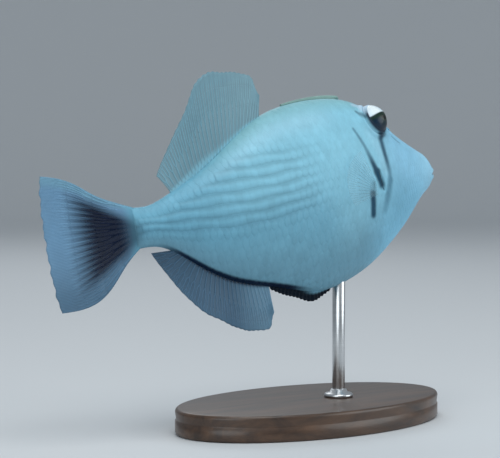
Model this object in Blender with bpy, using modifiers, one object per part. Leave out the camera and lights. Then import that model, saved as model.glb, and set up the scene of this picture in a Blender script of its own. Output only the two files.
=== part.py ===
"""A life-size boomerang triggerfish that swims over a flat base, held by a slim rod.

The fish is laid out straight first, with its snout at the origin, its head towards +X, its left side
towards +Y and its back towards +Z. Places along it are stations, from 0 at the snout to 1 at the root
of the tail fin. The rear half is then bent to the fish's left, and an empty tilts and lifts the whole.
"""

import math

import bmesh
import bpy
import numpy as np
from mathutils import Matrix, Vector

# Driving sizes, in metres
STANDARD_LENGTH = 0.178
GAP = 0.0003

# Pose
PITCH_DEG = 6.5
ROLL_DEG = 6.5
BEND_START = 0.42
BEND_GROWTH = 1.3
BEND_AT_TAIL_ROOT_DEG = 14.5
BEND_PAST_ROOT_DEG_PER_STATION = 22.5
AXIS_HEIGHT = 0.108
AXIS_STATION_OVER_BASE = 0.45

# Outline of the trunk and head, as (station, share of the standard length)
SNOUT_TIP = -0.008
SNOUT_ROUNDING = 0.040
BACK_LINE = [
    (-0.01, 0.042), (0.07, 0.090), (0.14, 0.136), (0.20, 0.185), (0.27, 0.232), (0.34, 0.250),
    (0.43, 0.254), (0.52, 0.246), (0.60, 0.224), (0.70, 0.170), (0.80, 0.112), (0.90, 0.068),
    (0.96, 0.050), (1.0, 0.052),
]
BELLY_LINE = [
    (-0.01, -0.028), (0.05, -0.056), (0.12, -0.113), (0.19, -0.162), (0.27, -0.206), (0.37, -0.240),
    (0.46, -0.252), (0.52, -0.245), (0.60, -0.222), (0.68, -0.200), (0.75, -0.176), (0.82, -0.136),
    (0.88, -0.092), (0.94, -0.058), (1.0, -0.053),
]
HALF_WIDTH = [
    (-0.01, 0.032), (0.07, 0.052), (0.13, 0.067), (0.20, 0.081), (0.28, 0.092), (0.38, 0.097),
    (0.50, 0.093), (0.62, 0.077), (0.75, 0.054), (0.88, 0.034), (1.0, 0.018),
]
WIDEST_LEVEL = [(-0.01, 0.006), (0.13, 0.020), (0.28, 0.022), (0.45, 0.010), (0.70, 0.0), (1.0, 0.0)]
BACK_FULLNESS = [(-0.01, 2.1), (0.12, 2.3), (0.24, 2.5), (0.40, 2.1), (0.65, 1.9), (1.0, 2.1)]
BELLY_FULLNESS = [(-0.01, 2.1), (0.15, 1.95), (0.35, 1.8), (0.60, 1.8), (0.80, 1.9), (1.0, 2.1)]

# Cuts between head, trunk and tail stalk
HEAD_CUT_STATION = 0.283
HEAD_CUT_LEAN = -0.10
STALK_CUT_STATION = 0.915

# Eyes
EYE_STATION = 0.240
EYE_LEVEL = 0.174
EYE_OUT = 0.0114
EYE_RADIUS = 0.0076
EYE_DEPTH = 0.0060
EYE_TURN_UP_DEG = 24.0
EYE_TURN_FORWARD_DEG = 20.0
ORBIT_SWELL = 0.0018
ORBIT_SPREAD = 0.0085

# Mouth and lips, nostrils, the groove before the eye, and the gill slit
MOUTH_LEVEL = 0.006
MOUTH_OPENING = 0.0005
MOUTH_REACH = 0.0075
MOUTH_HALF_WIDTH = 0.0085
LIP_TURN_DEG = 84.0
LIP_RISE = {"upper": 0.00175, "lower": -0.00165}
LIP_RADIUS = 0.0016
LIP_SUNK = 0.0008
LIP_CORNER_RADIUS = 0.0009
NOSTRILS = [(0.183, 0.151), (0.171, 0.143)]
NOSTRIL_RADIUS = 0.0005
GROOVE = ((0.186, 0.134), (0.138, 0.098))
GROOVE_HALF_WIDTH = 0.0007
GILL_SLIT = ((0.272, 0.034), (0.263, -0.016))
GILL_SLIT_HALF_WIDTH = 0.0004
CUT_DEPTH = 0.0009
CLEAR_OF_SKIN = 0.0012

# Keeled rows of scales on the rear flank, and the bony plates behind the gill slit
KEEL_ROWS = 8
KEEL_TOP_LEVEL = 0.142
KEEL_SPACING = 0.0288
KEEL_CLOSING = [(0.45, 0.86), (0.55, 0.92), (0.68, 1.0), (0.82, 0.98), (0.92, 0.77), (0.97, 0.64)]
KEEL_RISE = [(0.45, 0.026), (0.68, 0.005), (0.82, 0.009), (0.97, 0.014)]
KEEL_START = (0.455, 0.52)
KEEL_END = 0.968
KEEL_EDGE_MARGIN = 0.035
KEEL_POINTS = 10
KEEL_HEIGHT = 0.00050
KEEL_HALF_WIDTH = 0.0013
KEEL_SUNK = 0.0005
PLATES = [(0.300, 0.026), (0.303, 0.044), (0.318, 0.034), (0.321, 0.052)]
PLATE_RADIUS = 0.0016
PLATE_HEIGHT = 0.0003

# Fins: a thin membrane, with each ray raised as a ridge on both faces
MEMBRANE_ROOT = 0.0010
MEMBRANE_EDGE = 0.0005
RAY_ROOT = 0.0009
RAY_EDGE = 0.0005
# Each has the stations of its base, the corners of its free edge from front to rear, its rays and side
SECOND_DORSAL = {
    "base": (0.585, 0.885), "rays": 28, "up": 1,
    "corners": [(0.570, 0.285), (0.565, 0.350), (0.770, 0.366), (0.835, 0.240), (0.905, 0.120)],
}
ANAL = {
    "base": (0.640, 0.905), "rays": 25, "up": -1,
    "corners": [(0.635, -0.280), (0.635, -0.328), (0.745, -0.308), (0.875, -0.235), (0.955, -0.070)],
}
CORNER_ROUNDING = 0.35
CORNER_STEPS = 8
RAYS_CLOSER_AT_FRONT = 1.2
FIN_ROWS = 5
FIN_WAVES = 1.25
FIN_WAVE_REACH = 0.0048
CAUDAL_LENGTH = 0.236
CAUDAL_ROOT_EXTRA = 0.0026
CAUDAL_UPPER_REACH = [(0.0, 0.051), (0.25, 0.076), (0.45, 0.101), (0.60, 0.127), (0.80, 0.152), (1.0, 0.165)]
CAUDAL_LOWER_REACH = [(0.0, 0.052), (0.20, 0.090), (0.35, 0.127), (0.50, 0.156), (0.70, 0.174), (1.0, 0.176)]
CAUDAL_EDGE_ROUNDING = 0.05
CAUDAL_RAYS = 12
CAUDAL_ROWS = 6
PECTORAL_STATION = 0.300
PECTORAL_LEVEL = -0.008
PECTORAL_ROOT_HALF = 0.0030
PECTORAL_LENGTH = 0.0225
PECTORAL_RAYS = 13
PECTORAL_ROWS = 4
PECTORAL_UPPER_DEG = 62.0
PECTORAL_LOWER_DEG = -10.0
PECTORAL_LIFT = 0.13

# Folded first dorsal fin and the ventral flap with the pelvic spine at its front
DORSAL_SPINES = [(0.295, 0.145, 0.00110), (0.350, 0.115, 0.00085), (0.392, 0.100, 0.00065)]
SPINE_TIP_SHARE = 0.35
SPINE_POINTS = 8
FLAP_SPAN = (0.435, 0.635)
FLAP_EDGE = [(0.0, -0.254), (0.20, -0.268), (0.35, -0.272), (0.55, -0.256), (0.75, -0.242), (1.0, -0.218)]
FLAP_THICKNESS = 0.0019
FLAP_EDGE_THICKNESS = 0.0009
FLAP_RIBS = 9
FLAP_RIB = 0.0005
PELVIC_TIP = 0.28
PELVIC_KNOB = 0.0018

# Stand
BASE_LENGTH = 0.150
BASE_WIDTH = 0.086
BASE_HEIGHT = 0.012
BASE_EDGE_RADIUS = 0.0018
ROD_RADIUS = 0.0030
ROD_SOCKET_DEPTH = 0.009
ROD_STATION = 0.400

# Mesh density
RING_POINTS = 48
BODY_STATIONS = 38
EYE_RINGS = 9
HAND_SIDES = {"right": -1.0, "left": 1.0}

# Finishes, as (colour, roughness, metallic)
FINISHES = {
    "skin": ((0.24, 0.50, 0.64), 0.45, 0.0),
    "fin": ((0.20, 0.34, 0.44), 0.40, 0.0),
    "dark_skin": ((0.01, 0.03, 0.05), 0.40, 0.0),
    "eye": ((0.02, 0.04, 0.05), 0.08, 0.0),
    "steel": ((0.60, 0.61, 0.62), 0.30, 1.0),
    "wood": ((0.10, 0.055, 0.03), 0.40, 0.0),
}


def clear_scene():
    for obj in list(bpy.data.objects):
        bpy.data.objects.remove(obj)


def smooth_curve(points):
    """A natural cubic spline through (place, value) pairs."""
    x, y = np.array(points, float).T
    n = len(x)
    step = np.diff(x)
    system, right = np.eye(n), np.zeros(n)
    for i in range(1, n - 1):
        system[i, i - 1 : i + 2] = step[i - 1], 2 * (step[i - 1] + step[i]), step[i]
        right[i] = 6 * ((y[i + 1] - y[i]) / step[i] - (y[i] - y[i - 1]) / step[i - 1])
    bend = np.linalg.solve(system, right)

    def value(at):
        at = min(max(at, x[0]), x[-1])
        i = min(int(np.searchsorted(x, at, side="right")) - 1, n - 2)
        after, before = at - x[i], x[i + 1] - at
        h = step[i]
        curved = (bend[i] * before**3 + bend[i + 1] * after**3) / (6 * h)
        straight = (y[i] / h - bend[i] * h / 6) * before + (y[i + 1] / h - bend[i + 1] * h / 6) * after
        return float(curved + straight)

    return value


back_line = smooth_curve(BACK_LINE)
belly_line = smooth_curve(BELLY_LINE)
half_width = smooth_curve(HALF_WIDTH)
widest_level = smooth_curve(WIDEST_LEVEL)
back_fullness = smooth_curve(BACK_FULLNESS)
belly_fullness = smooth_curve(BELLY_FULLNESS)
keel_closing = smooth_curve(KEEL_CLOSING)
keel_rise = smooth_curve(KEEL_RISE)


def snout_share(station):
    """How far the section has opened out behind the rounded tip of the snout, from 0 to 1."""
    left = 1 - min((station - SNOUT_TIP) / SNOUT_ROUNDING, 1)
    return math.sqrt(max(1 - left * left, 0))


def section(station):
    """Half width, widest level, back and belly of the body at a station, in metres."""
    share = snout_share(station)
    level = widest_level(station)
    back = level + (back_line(station) - level) * share
    belly = level + (belly_line(station) - level) * share
    sizes = half_width(station) * share, level, back, belly
    return [size * STANDARD_LENGTH for size in sizes]


def rounded(value, fullness):
    return math.copysign(abs(value) ** (2 / fullness), value)


def body_point(station, angle):
    """A point of the straight body. The angle is 0 on the back, and grows round the left side."""
    width, level, back, belly = section(station)
    up, out = math.cos(angle), math.sin(angle)
    if up >= 0:
        fullness, reach = back_fullness(station), back - level
    else:
        fullness, reach = belly_fullness(station), level - belly
    point = Vector((
        -station * STANDARD_LENGTH,
        width * rounded(out, fullness),
        level + reach * rounded(up, fullness),
    ))
    return point + orbit_swelling(point)


def orbit_swelling(point):
    """The head stands out a little round each eye."""
    side = math.copysign(1.0, point.y)
    eye = Vector((-EYE_STATION * STANDARD_LENGTH, side * EYE_OUT, EYE_LEVEL * STANDARD_LENGTH))
    near = math.exp(-(((point - eye).length / ORBIT_SPREAD) ** 2))
    return Vector((0, side * ORBIT_SWELL * near * min(abs(point.y) / EYE_OUT, 1), 0))


def flank_out(station, level):
    """How far the side of the body is from the midplane at a level in metres."""
    width, middle, back, belly = section(station)
    if level >= middle:
        fullness, share = back_fullness(station), (level - middle) / (back - middle)
    else:
        fullness, share = belly_fullness(station), (middle - level) / (middle - belly)
    return width * max(1 - min(share, 1) ** fullness, 0) ** (1 / fullness)


def heading(station):
    """How far the midline has turned to the fish's left at a station, in radians."""
    if station <= BEND_START:
        return 0.0
    if station <= 1:
        share = (station - BEND_START) / (1 - BEND_START)
        return math.radians(BEND_AT_TAIL_ROOT_DEG) * share**BEND_GROWTH
    past = (station - 1) * BEND_PAST_ROOT_DEG_PER_STATION
    return math.radians(BEND_AT_TAIL_ROOT_DEG + past)


MIDLINE_STEP = 0.005
MIDLINE_STATIONS = np.arange(0, 1.4, MIDLINE_STEP)
MIDLINE_TURNS = np.array([heading(s + MIDLINE_STEP / 2) for s in MIDLINE_STATIONS])
MIDLINE_X = -STANDARD_LENGTH * MIDLINE_STEP * np.concatenate([[0], np.cumsum(np.cos(MIDLINE_TURNS))[:-1]])
MIDLINE_Y = STANDARD_LENGTH * MIDLINE_STEP * np.concatenate([[0], np.cumsum(np.sin(MIDLINE_TURNS))[:-1]])


def bent(point):
    """Where a point of the straight fish lies once the rear half is bent."""
    station = -point.x / STANDARD_LENGTH
    if station <= BEND_START:
        return point.copy()
    turn = heading(station)
    x = np.interp(station, MIDLINE_STATIONS, MIDLINE_X) + point.y * math.sin(turn)
    y = np.interp(station, MIDLINE_STATIONS, MIDLINE_Y) + point.y * math.cos(turn)
    return Vector((x, y, point.z))


def material(finish):
    found = bpy.data.materials.get(finish)
    if found:
        return found
    colour, roughness, metallic = FINISHES[finish]
    made = bpy.data.materials.new(finish)
    made.use_nodes = True
    shader = made.node_tree.nodes["Principled BSDF"]
    shader.inputs["Base Color"].default_value = (*colour, 1)
    shader.inputs["Roughness"].default_value = roughness
    shader.inputs["Metallic"].default_value = metallic
    return made


def add_object(name, mesh, finish, parent=None, smooth_deg=40):
    obj = bpy.data.objects.new(name, mesh)
    bpy.data.collections["boomerang_triggerfish"].objects.link(obj)
    if finish:
        mesh.materials.append(material(finish))
    mesh.shade_smooth()
    mesh.set_sharp_from_angle(angle=math.radians(smooth_deg))
    obj.parent = parent
    return obj


def mesh_from(bm, name):
    bmesh.ops.recalc_face_normals(bm, faces=bm.faces)
    mesh = bpy.data.meshes.new(name)
    bm.to_mesh(mesh)
    bm.free()
    return mesh


def loft(rings):
    """A closed body through rings of equally many points, as a bmesh."""
    bm = bmesh.new()
    rows = [[bm.verts.new(point) for point in ring] for ring in rings]
    count = len(rows[0])
    for first, second in zip(rows, rows[1:]):
        for i in range(count):
            j = (i + 1) % count
            bm.faces.new((first[i], first[j], second[j], second[i]))
    bm.faces.new(rows[0][::-1])
    bm.faces.new(rows[-1])
    bmesh.ops.recalc_face_normals(bm, faces=bm.faces)
    return bm


def plain_body():
    """The whole straight body, from the snout to the root of the tail fin, before its raised forms."""
    rings = []
    for i in range(BODY_STATIONS):
        share = i / (BODY_STATIONS - 1)
        station = SNOUT_TIP + 0.0012 + (1 - SNOUT_TIP - 0.0012) * (0.25 * share + 0.75) * share
        angles = [2 * math.pi * k / RING_POINTS for k in range(RING_POINTS)]
        rings.append([body_point(station, angle) for angle in angles])
    return loft(rings)


def flank_point(station, level_share, side, out=0.0):
    """A point over the flank at a station and a level given as shares of the standard length."""
    level = level_share * STANDARD_LENGTH
    return Vector((-station * STANDARD_LENGTH, side * (flank_out(station, level) + out), level))


def flank_axes(station, level_share, side):
    """The flank's outward normal, and its backward direction, at a place."""
    step = 0.004
    back = flank_point(station + step, level_share, side) - flank_point(station - step, level_share, side)
    up = flank_point(station, level_share + step, side) - flank_point(station, level_share - step, side)
    normal = back.cross(up).normalized()
    if normal.y * side < 0:
        normal.negate()
    return normal, back.normalized()


def keel_level(row, station):
    """Rows are widest apart on the rear flank and close up to the front and on the tail stalk."""
    return (KEEL_TOP_LEVEL - KEEL_SPACING * row) * keel_closing(station) + keel_rise(station)


def keel_row(row, side):
    """One keeled row of scales, as a low ridge with its feet sunk in the flank."""
    first, last = KEEL_START
    start = first + (last - first) * row / (KEEL_ROWS - 1)
    end = KEEL_END
    while back_line(end) - keel_level(row, end) < KEEL_EDGE_MARGIN and end > start:
        end -= 0.005
    rings = []
    for i in range(KEEL_POINTS + 1):
        share = i / KEEL_POINTS
        station = start + (end - start) * share
        level = keel_level(row, station)
        taper = max(math.sin(math.pi * share) ** 0.5, 0.15) if i in (0, KEEL_POINTS) else 1.0
        half = KEEL_HALF_WIDTH / STANDARD_LENGTH * max(taper, 0.5)
        crest = flank_point(station, level, side, KEEL_HEIGHT * taper)
        rings.append([
            crest,
            flank_point(station, level + half, side, -KEEL_SUNK),
            flank_point(station, level - half, side, -KEEL_SUNK),
        ])
    return mesh_from(loft(rings), "keel_row")


def bony_plate(station, level, side):
    normal, back = flank_axes(station, level, side)
    turn = normal.to_track_quat("Z", "Y").to_matrix().to_4x4()
    middle = flank_point(station, level, side, 0.0) - normal * 0.0002
    bm = bmesh.new()
    bmesh.ops.create_cone(
        bm, cap_ends=True, segments=6, radius1=PLATE_RADIUS, radius2=PLATE_RADIUS * 0.6,
        depth=2 * PLATE_HEIGHT + 0.0004, matrix=Matrix.Translation(middle) @ turn,
    )
    return mesh_from(bm, "plate")


def raised_body():
    """The straight body with the keeled rows and bony plates raised on it, as a mesh."""
    body = bpy.data.objects.new("body", mesh_from(plain_body(), "body"))
    bpy.context.scene.collection.objects.link(body)
    forms = [keel_row(row, side) for side in HAND_SIDES.values() for row in range(KEEL_ROWS)]
    forms += [bony_plate(*place, side) for side in HAND_SIDES.values() for place in PLATES]
    combine(body, [bpy.data.objects.new("raised", form) for form in forms], "UNION")
    mesh = body.data
    bpy.data.objects.remove(body)
    return mesh


def keep_side(bm, place, direction):
    """Cuts the body flat at a place and keeps what lies against the direction, closed by a face."""
    geometry = bm.verts[:] + bm.edges[:] + bm.faces[:]
    cut = bmesh.ops.bisect_plane(
        bm, geom=geometry, plane_co=place, plane_no=direction, clear_outer=True, dist=1e-7
    )
    edges = [e for e in cut["geom_cut"] if isinstance(e, bmesh.types.BMEdge)]
    bmesh.ops.contextual_create(bm, geom=edges)


def bend_mesh(bm):
    for vertex in bm.verts:
        vertex.co = bent(vertex.co)


def head_cut(offset):
    """A point on the head's cut, moved back by an offset, and the cut's backward direction."""
    direction = Vector((-1, 0, HEAD_CUT_LEAN)).normalized()
    place = Vector((-HEAD_CUT_STATION * STANDARD_LENGTH, 0, 0))
    return place + direction * offset, direction


def stalk_cut(offset):
    place = Vector((-STALK_CUT_STATION * STANDARD_LENGTH - offset, 0, 0))
    return place, Vector((-1, 0, 0))


def apply_modifiers(obj):
    """Turns an object's modifiers into its mesh, keeping its place."""
    graph = bpy.context.evaluated_depsgraph_get()
    mesh = bpy.data.meshes.new_from_object(obj.evaluated_get(graph))
    obj.modifiers.clear()
    obj.data = mesh


def combine(obj, cutters, operation):
    """One Boolean with all the cutters, which are then removed."""
    group = bpy.data.collections.new(obj.name + "_cutters")
    bpy.context.scene.collection.children.link(group)
    for cutter in cutters:
        cutter.parent = obj.parent
        group.objects.link(cutter)
    modifier = obj.modifiers.new(operation.lower(), "BOOLEAN")
    modifier.operation = operation
    modifier.solver = "EXACT"
    modifier.operand_type = "COLLECTION"
    modifier.collection = group
    bpy.context.view_layer.update()
    apply_modifiers(obj)
    for cutter in cutters:
        bpy.data.objects.remove(cutter)
    bpy.data.collections.remove(group)


def eye_matrix(side):
    """Places an eyeball whose pupil looks along its own +Z."""
    up, forward = math.radians(EYE_TURN_UP_DEG), math.radians(EYE_TURN_FORWARD_DEG)
    look = Vector((math.sin(forward), side * math.cos(forward) * math.cos(up), math.sin(up)))
    turn = look.to_track_quat("Z", "Y").to_matrix().to_4x4()
    place = (-EYE_STATION * STANDARD_LENGTH, side * EYE_OUT, EYE_LEVEL * STANDARD_LENGTH)
    return Matrix.Translation(place) @ turn


def eyeball(name, side, swell, rings):
    """A flattened ball, swollen by a margin to make its socket."""
    bm = bmesh.new()
    bmesh.ops.create_uvsphere(bm, u_segments=2 * rings, v_segments=rings, radius=1)
    radius, depth = EYE_RADIUS + swell, EYE_DEPTH + swell
    bmesh.ops.transform(bm, matrix=Matrix.Diagonal((radius, radius, depth, 1)), verts=bm.verts)
    bmesh.ops.transform(bm, matrix=eye_matrix(side), verts=bm.verts)
    return mesh_from(bm, name)


def lip(rise):
    """A fleshy lip that runs round the front of the snout, thinner towards the corners of the mouth."""
    rings = []
    for i in range(13):
        share = 2 * i / 12 - 1
        turn = math.radians(LIP_TURN_DEG * share)
        station = SNOUT_TIP + SNOUT_ROUNDING * (1 - math.cos(turn))
        width = half_width(station) * STANDARD_LENGTH
        centre = Vector((-station * STANDARD_LENGTH, width * math.sin(turn), MOUTH_LEVEL * STANDARD_LENGTH))
        centre.z += rise * (1 - 0.35 * share * share)
        outward = Vector((math.cos(turn), math.sin(turn), 0))
        centre -= outward * LIP_SUNK
        radius = LIP_RADIUS + (LIP_CORNER_RADIUS - LIP_RADIUS) * share * share
        ring = []
        for k in range(8):
            angle = 2 * math.pi * k / 8
            ring.append(centre + radius * (outward * math.cos(angle) + Vector((0, 0, math.sin(angle)))))
        rings.append(ring)
    return mesh_from(loft(rings), "lip")


def mouth_slit():
    bm = bmesh.new()
    bmesh.ops.create_cone(bm, cap_ends=True, segments=32, radius1=1, radius2=1, depth=1)
    size = Matrix.Diagonal((MOUTH_REACH, MOUTH_HALF_WIDTH, MOUTH_OPENING, 1))
    place = Matrix.Translation((-SNOUT_TIP * STANDARD_LENGTH, 0, MOUTH_LEVEL * STANDARD_LENGTH))
    bmesh.ops.transform(bm, matrix=place @ size, verts=bm.verts)
    return mesh_from(bm, "mouth_slit")


def flank_slot(start, end, half_width_m, side):
    """A narrow cut along a line on the flank, pointed at both ends."""
    rings = []
    for i in range(7):
        share = i / 6
        station = start[0] + (end[0] - start[0]) * share
        level = start[1] + (end[1] - start[1]) * share
        station += 0.004 * math.sin(math.pi * share)
        normal, _ = flank_axes(station, level, side)
        run = flank_point(*end, side) - flank_point(*start, side)
        across = normal.cross(run).normalized() * half_width_m * max(math.sin(math.pi * share), 0.12)
        middle = flank_point(station, level, side)
        depth = CUT_DEPTH * max(math.sin(math.pi * share), 0.2)
        outer, inner = middle + normal * CLEAR_OF_SKIN, middle - normal * depth
        rings.append([outer + across, outer - across, inner - across, inner + across])
    return mesh_from(loft(rings), "slot")


def nostril(station, level, side):
    normal, _ = flank_axes(station, level, side)
    turn = normal.to_track_quat("Z", "Y").to_matrix().to_4x4()
    bm = bmesh.new()
    bmesh.ops.create_cone(
        bm, cap_ends=True, segments=8, radius1=NOSTRIL_RADIUS, radius2=NOSTRIL_RADIUS,
        depth=2 * CUT_DEPTH, matrix=Matrix.Translation(flank_point(station, level, side)) @ turn,
    )
    return mesh_from(bm, "nostril")


def add_head(parent):
    bm = plain_body()
    keep_side(bm, *head_cut(0))
    head = add_object("head", mesh_from(bm, "head"), "skin", parent)
    combine(head, [bpy.data.objects.new("lip", lip(rise)) for rise in LIP_RISE.values()], "UNION")
    cuts = [mouth_slit()]
    for side in HAND_SIDES.values():
        cuts.append(eyeball("socket", side, GAP, EYE_RINGS))
        cuts += [nostril(*place, side) for place in NOSTRILS]
        cuts.append(flank_slot(*GROOVE, GROOVE_HALF_WIDTH, side))
        cuts.append(flank_slot(*GILL_SLIT, GILL_SLIT_HALF_WIDTH, side))
    combine(head, [bpy.data.objects.new("cut", mesh) for mesh in cuts], "DIFFERENCE")


def body_length(body, front_cut, rear_cut):
    """A length of the raised body between two cuts, bent with the rest of the fish."""
    bm = bmesh.new()
    bm.from_mesh(body)
    place, direction = front_cut
    keep_side(bm, place, -direction)
    if rear_cut:
        keep_side(bm, *rear_cut)
    bend_mesh(bm)
    return bm


def add_trunk_and_tail_stalk(parent):
    body = raised_body()
    bm = body_length(body, head_cut(GAP), stalk_cut(0))
    trunk = add_object("trunk", mesh_from(bm, "trunk"), "skin", parent)
    combine(trunk, [rod_socket(parent)], "DIFFERENCE")
    bm = body_length(body, stalk_cut(GAP), None)
    add_object("tail_stalk", mesh_from(bm, "tail_stalk"), "skin", parent)
    bpy.data.meshes.remove(body)


def add_eyes(parent):
    for hand, side in HAND_SIDES.items():
        name = "eye_" + hand
        add_object(name, eyeball(name, side, 0, EYE_RINGS), "eye", parent, smooth_deg=80)


def thin_sheet(middle, thickness, columns, rows, across):
    """A closed thin sheet over a grid, split into triangles alike on both faces, as a bmesh.

    middle(u, v) is a point halfway through it, thickness(u, v) its thickness there, and across the
    direction from one face to the other.
    """
    bm = bmesh.new()
    faces = []
    for sign in (1, -1):
        grid = []
        for i in range(columns + 1):
            u = i / columns
            line = []
            for j in range(rows + 1):
                v = j / rows
                line.append(bm.verts.new(middle(u, v) + across * (sign * thickness(u, v) / 2)))
            grid.append(line)
        faces.append(grid)
    for grid in faces:
        for i in range(columns):
            for j in range(rows):
                a, b, c, d = grid[i][j], grid[i + 1][j], grid[i + 1][j + 1], grid[i][j + 1]
                bm.faces.new((a, b, c))
                bm.faces.new((a, c, d))
    near, far = faces
    rim = [(i, 0) for i in range(columns)] + [(columns, j) for j in range(rows)]
    rim += [(i, rows) for i in range(columns, 0, -1)] + [(0, j) for j in range(rows, 0, -1)]
    for (i, j), (k, m) in zip(rim, rim[1:] + rim[:1]):
        bm.faces.new((near[i][j], near[k][m], far[k][m], far[i][j]))
    return bm


def rayed(rays, root_extra=0.0):
    """Thickness of a fin: a membrane that thins outward, and rays that stand out on both faces."""

    def thickness(u, v):
        crest = (1 - math.cos(2 * math.pi * rays * u)) / 2
        skin = MEMBRANE_ROOT + (MEMBRANE_EDGE - MEMBRANE_ROOT) * v**0.7
        ray = RAY_ROOT + (RAY_EDGE - RAY_ROOT) * v**0.7
        return skin + ray * crest + root_extra * (1 - v) ** 3

    return thickness


def rounded_edge(corners):
    """A line through corners with its bends rounded off, as places by the share of its length."""
    corners = [Vector(corner) for corner in corners]
    line = [corners[0]]
    for before, corner, after in zip(corners, corners[1:], corners[2:]):
        start = corner.lerp(before, CORNER_ROUNDING)
        end = corner.lerp(after, CORNER_ROUNDING)
        for i in range(CORNER_STEPS + 1):
            t = i / CORNER_STEPS
            line.append(start.lerp(corner, t).lerp(corner.lerp(end, t), t))
    line.append(corners[-1])
    reach = np.cumsum([0.0] + [(b - a).length for a, b in zip(line, line[1:])])

    def place(share):
        at = share * reach[-1]
        return np.interp(at, reach, [p[0] for p in line]), np.interp(at, reach, [p[1] for p in line])

    return place


def add_ribbon_fin(name, parent, crest, sizes):
    """A fin that rises from a line of the body, with a slow wave along it."""
    base, rays, up = sizes["base"], sizes["rays"], sizes["up"]
    edge = rounded_edge(sizes["corners"])

    def middle(u, v):
        station = base[0] + (base[1] - base[0]) * u
        root = Vector((-station * STANDARD_LENGTH, 0, crest(station) * STANDARD_LENGTH + up * GAP))
        tip_station, tip_level = edge(u**RAYS_CLOSER_AT_FRONT)
        tip = Vector((-tip_station * STANDARD_LENGTH, 0, tip_level * STANDARD_LENGTH))
        point = root.lerp(tip, v)
        point.y = FIN_WAVE_REACH * v**1.5 * math.sin(2 * math.pi * FIN_WAVES * u)
        return point

    bm = thin_sheet(middle, rayed(rays), 2 * rays, FIN_ROWS, Vector((0, 1, 0)))
    bend_mesh(bm)
    add_object(name, mesh_from(bm, name), "fin", parent)


def add_caudal_fin(parent):
    upper, lower = smooth_curve(CAUDAL_UPPER_REACH), smooth_curve(CAUDAL_LOWER_REACH)

    def middle(u, v):
        side = 2 * u - 1
        reach = upper(v) if side > 0 else lower(v)
        length = CAUDAL_LENGTH * (1 - CAUDAL_EDGE_ROUNDING * abs(side) ** 2.5)
        x = -(1 + length * v) * STANDARD_LENGTH - GAP
        return Vector((x, 0, side * reach * STANDARD_LENGTH))

    thickness = rayed(CAUDAL_RAYS, CAUDAL_ROOT_EXTRA)
    bm = thin_sheet(middle, thickness, 2 * CAUDAL_RAYS, CAUDAL_ROWS, Vector((0, 1, 0)))
    bend_mesh(bm)
    add_object("caudal_fin", mesh_from(bm, "caudal_fin"), "fin", parent)


def add_pectoral_fins(parent):
    """Short rounded fans that lie back along the flanks, lifting off towards their tips."""
    length = PECTORAL_LENGTH / STANDARD_LENGTH
    root_half = PECTORAL_ROOT_HALF / STANDARD_LENGTH
    thickness = rayed(PECTORAL_RAYS)
    for hand, side in HAND_SIDES.items():

        def middle(u, v):
            angle = math.radians(PECTORAL_LOWER_DEG + (PECTORAL_UPPER_DEG - PECTORAL_LOWER_DEG) * u)
            reach = length * (0.80 + 0.20 * math.sin(math.pi * u**0.8)) * v
            station = PECTORAL_STATION + reach * math.cos(angle)
            level = PECTORAL_LEVEL + (2 * u - 1) * root_half + reach * math.sin(angle)
            level *= STANDARD_LENGTH
            lift = PECTORAL_LIFT * reach * STANDARD_LENGTH
            out = flank_out(station, level) + 1.3 * GAP + thickness(u, v) / 2 + lift
            return Vector((-station * STANDARD_LENGTH, side * out, level))

        bm = thin_sheet(middle, thickness, 2 * PECTORAL_RAYS, PECTORAL_ROWS, Vector((0, side, 0)))
        name = "pectoral_fin_" + hand
        add_object(name, mesh_from(bm, name), "fin", parent)


def folded_spine(start, length, radius):
    """One spine of the first dorsal fin, laid back along the top of the body."""
    rings = []
    for i in range(SPINE_POINTS + 1):
        share = i / SPINE_POINTS
        station = start + length * share
        size = radius * (1 + (SPINE_TIP_SHARE - 1) * share) * (0.55 if i == 0 else 1)
        centre = back_line(station) * STANDARD_LENGTH + GAP + radius * (0.75 - 0.25 * share)
        ring = []
        for k in range(8):
            angle = 2 * math.pi * k / 8
            up = max(size * math.cos(angle) * 1.15, -radius * (0.75 - 0.25 * share))
            ring.append(Vector((-station * STANDARD_LENGTH, size * math.sin(angle), centre + up)))
        rings.append(ring)
    return mesh_from(loft(rings), "spine")


def folded_web():
    """The skin between the folded spines, as a low ridge along the back."""
    start = DORSAL_SPINES[0][0] + 0.004
    end = DORSAL_SPINES[-1][0] + DORSAL_SPINES[-1][1] + 0.012
    rings = []
    for i in range(13):
        share = i / 12
        station = start + (end - start) * share
        shape = math.sin(math.pi * min(share / 0.3, 1) / 2) * (1 - 0.75 * share)
        height, width = 0.0012 * shape + 0.0005, 0.0024 * shape + 0.0006
        floor = back_line(station) * STANDARD_LENGTH + GAP
        ring = []
        for k in range(8):
            angle = 2 * math.pi * (k + 0.5) / 8
            out, up = width / 2 * math.sin(angle), height / 2 * (1 + math.cos(angle))
            ring.append(Vector((-station * STANDARD_LENGTH, out, floor + up)))
        rings.append(ring)
    return mesh_from(loft(rings), "first_dorsal_fin")


def add_first_dorsal_fin(parent):
    """The three spines and their skin, folded down along the back."""
    web = add_object("first_dorsal_fin", folded_web(), "fin", parent)
    spines = [bpy.data.objects.new("spine", folded_spine(*sizes)) for sizes in DORSAL_SPINES]
    combine(web, spines, "UNION")
    for vertex in web.data.vertices:
        vertex.co = bent(vertex.co)


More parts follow.
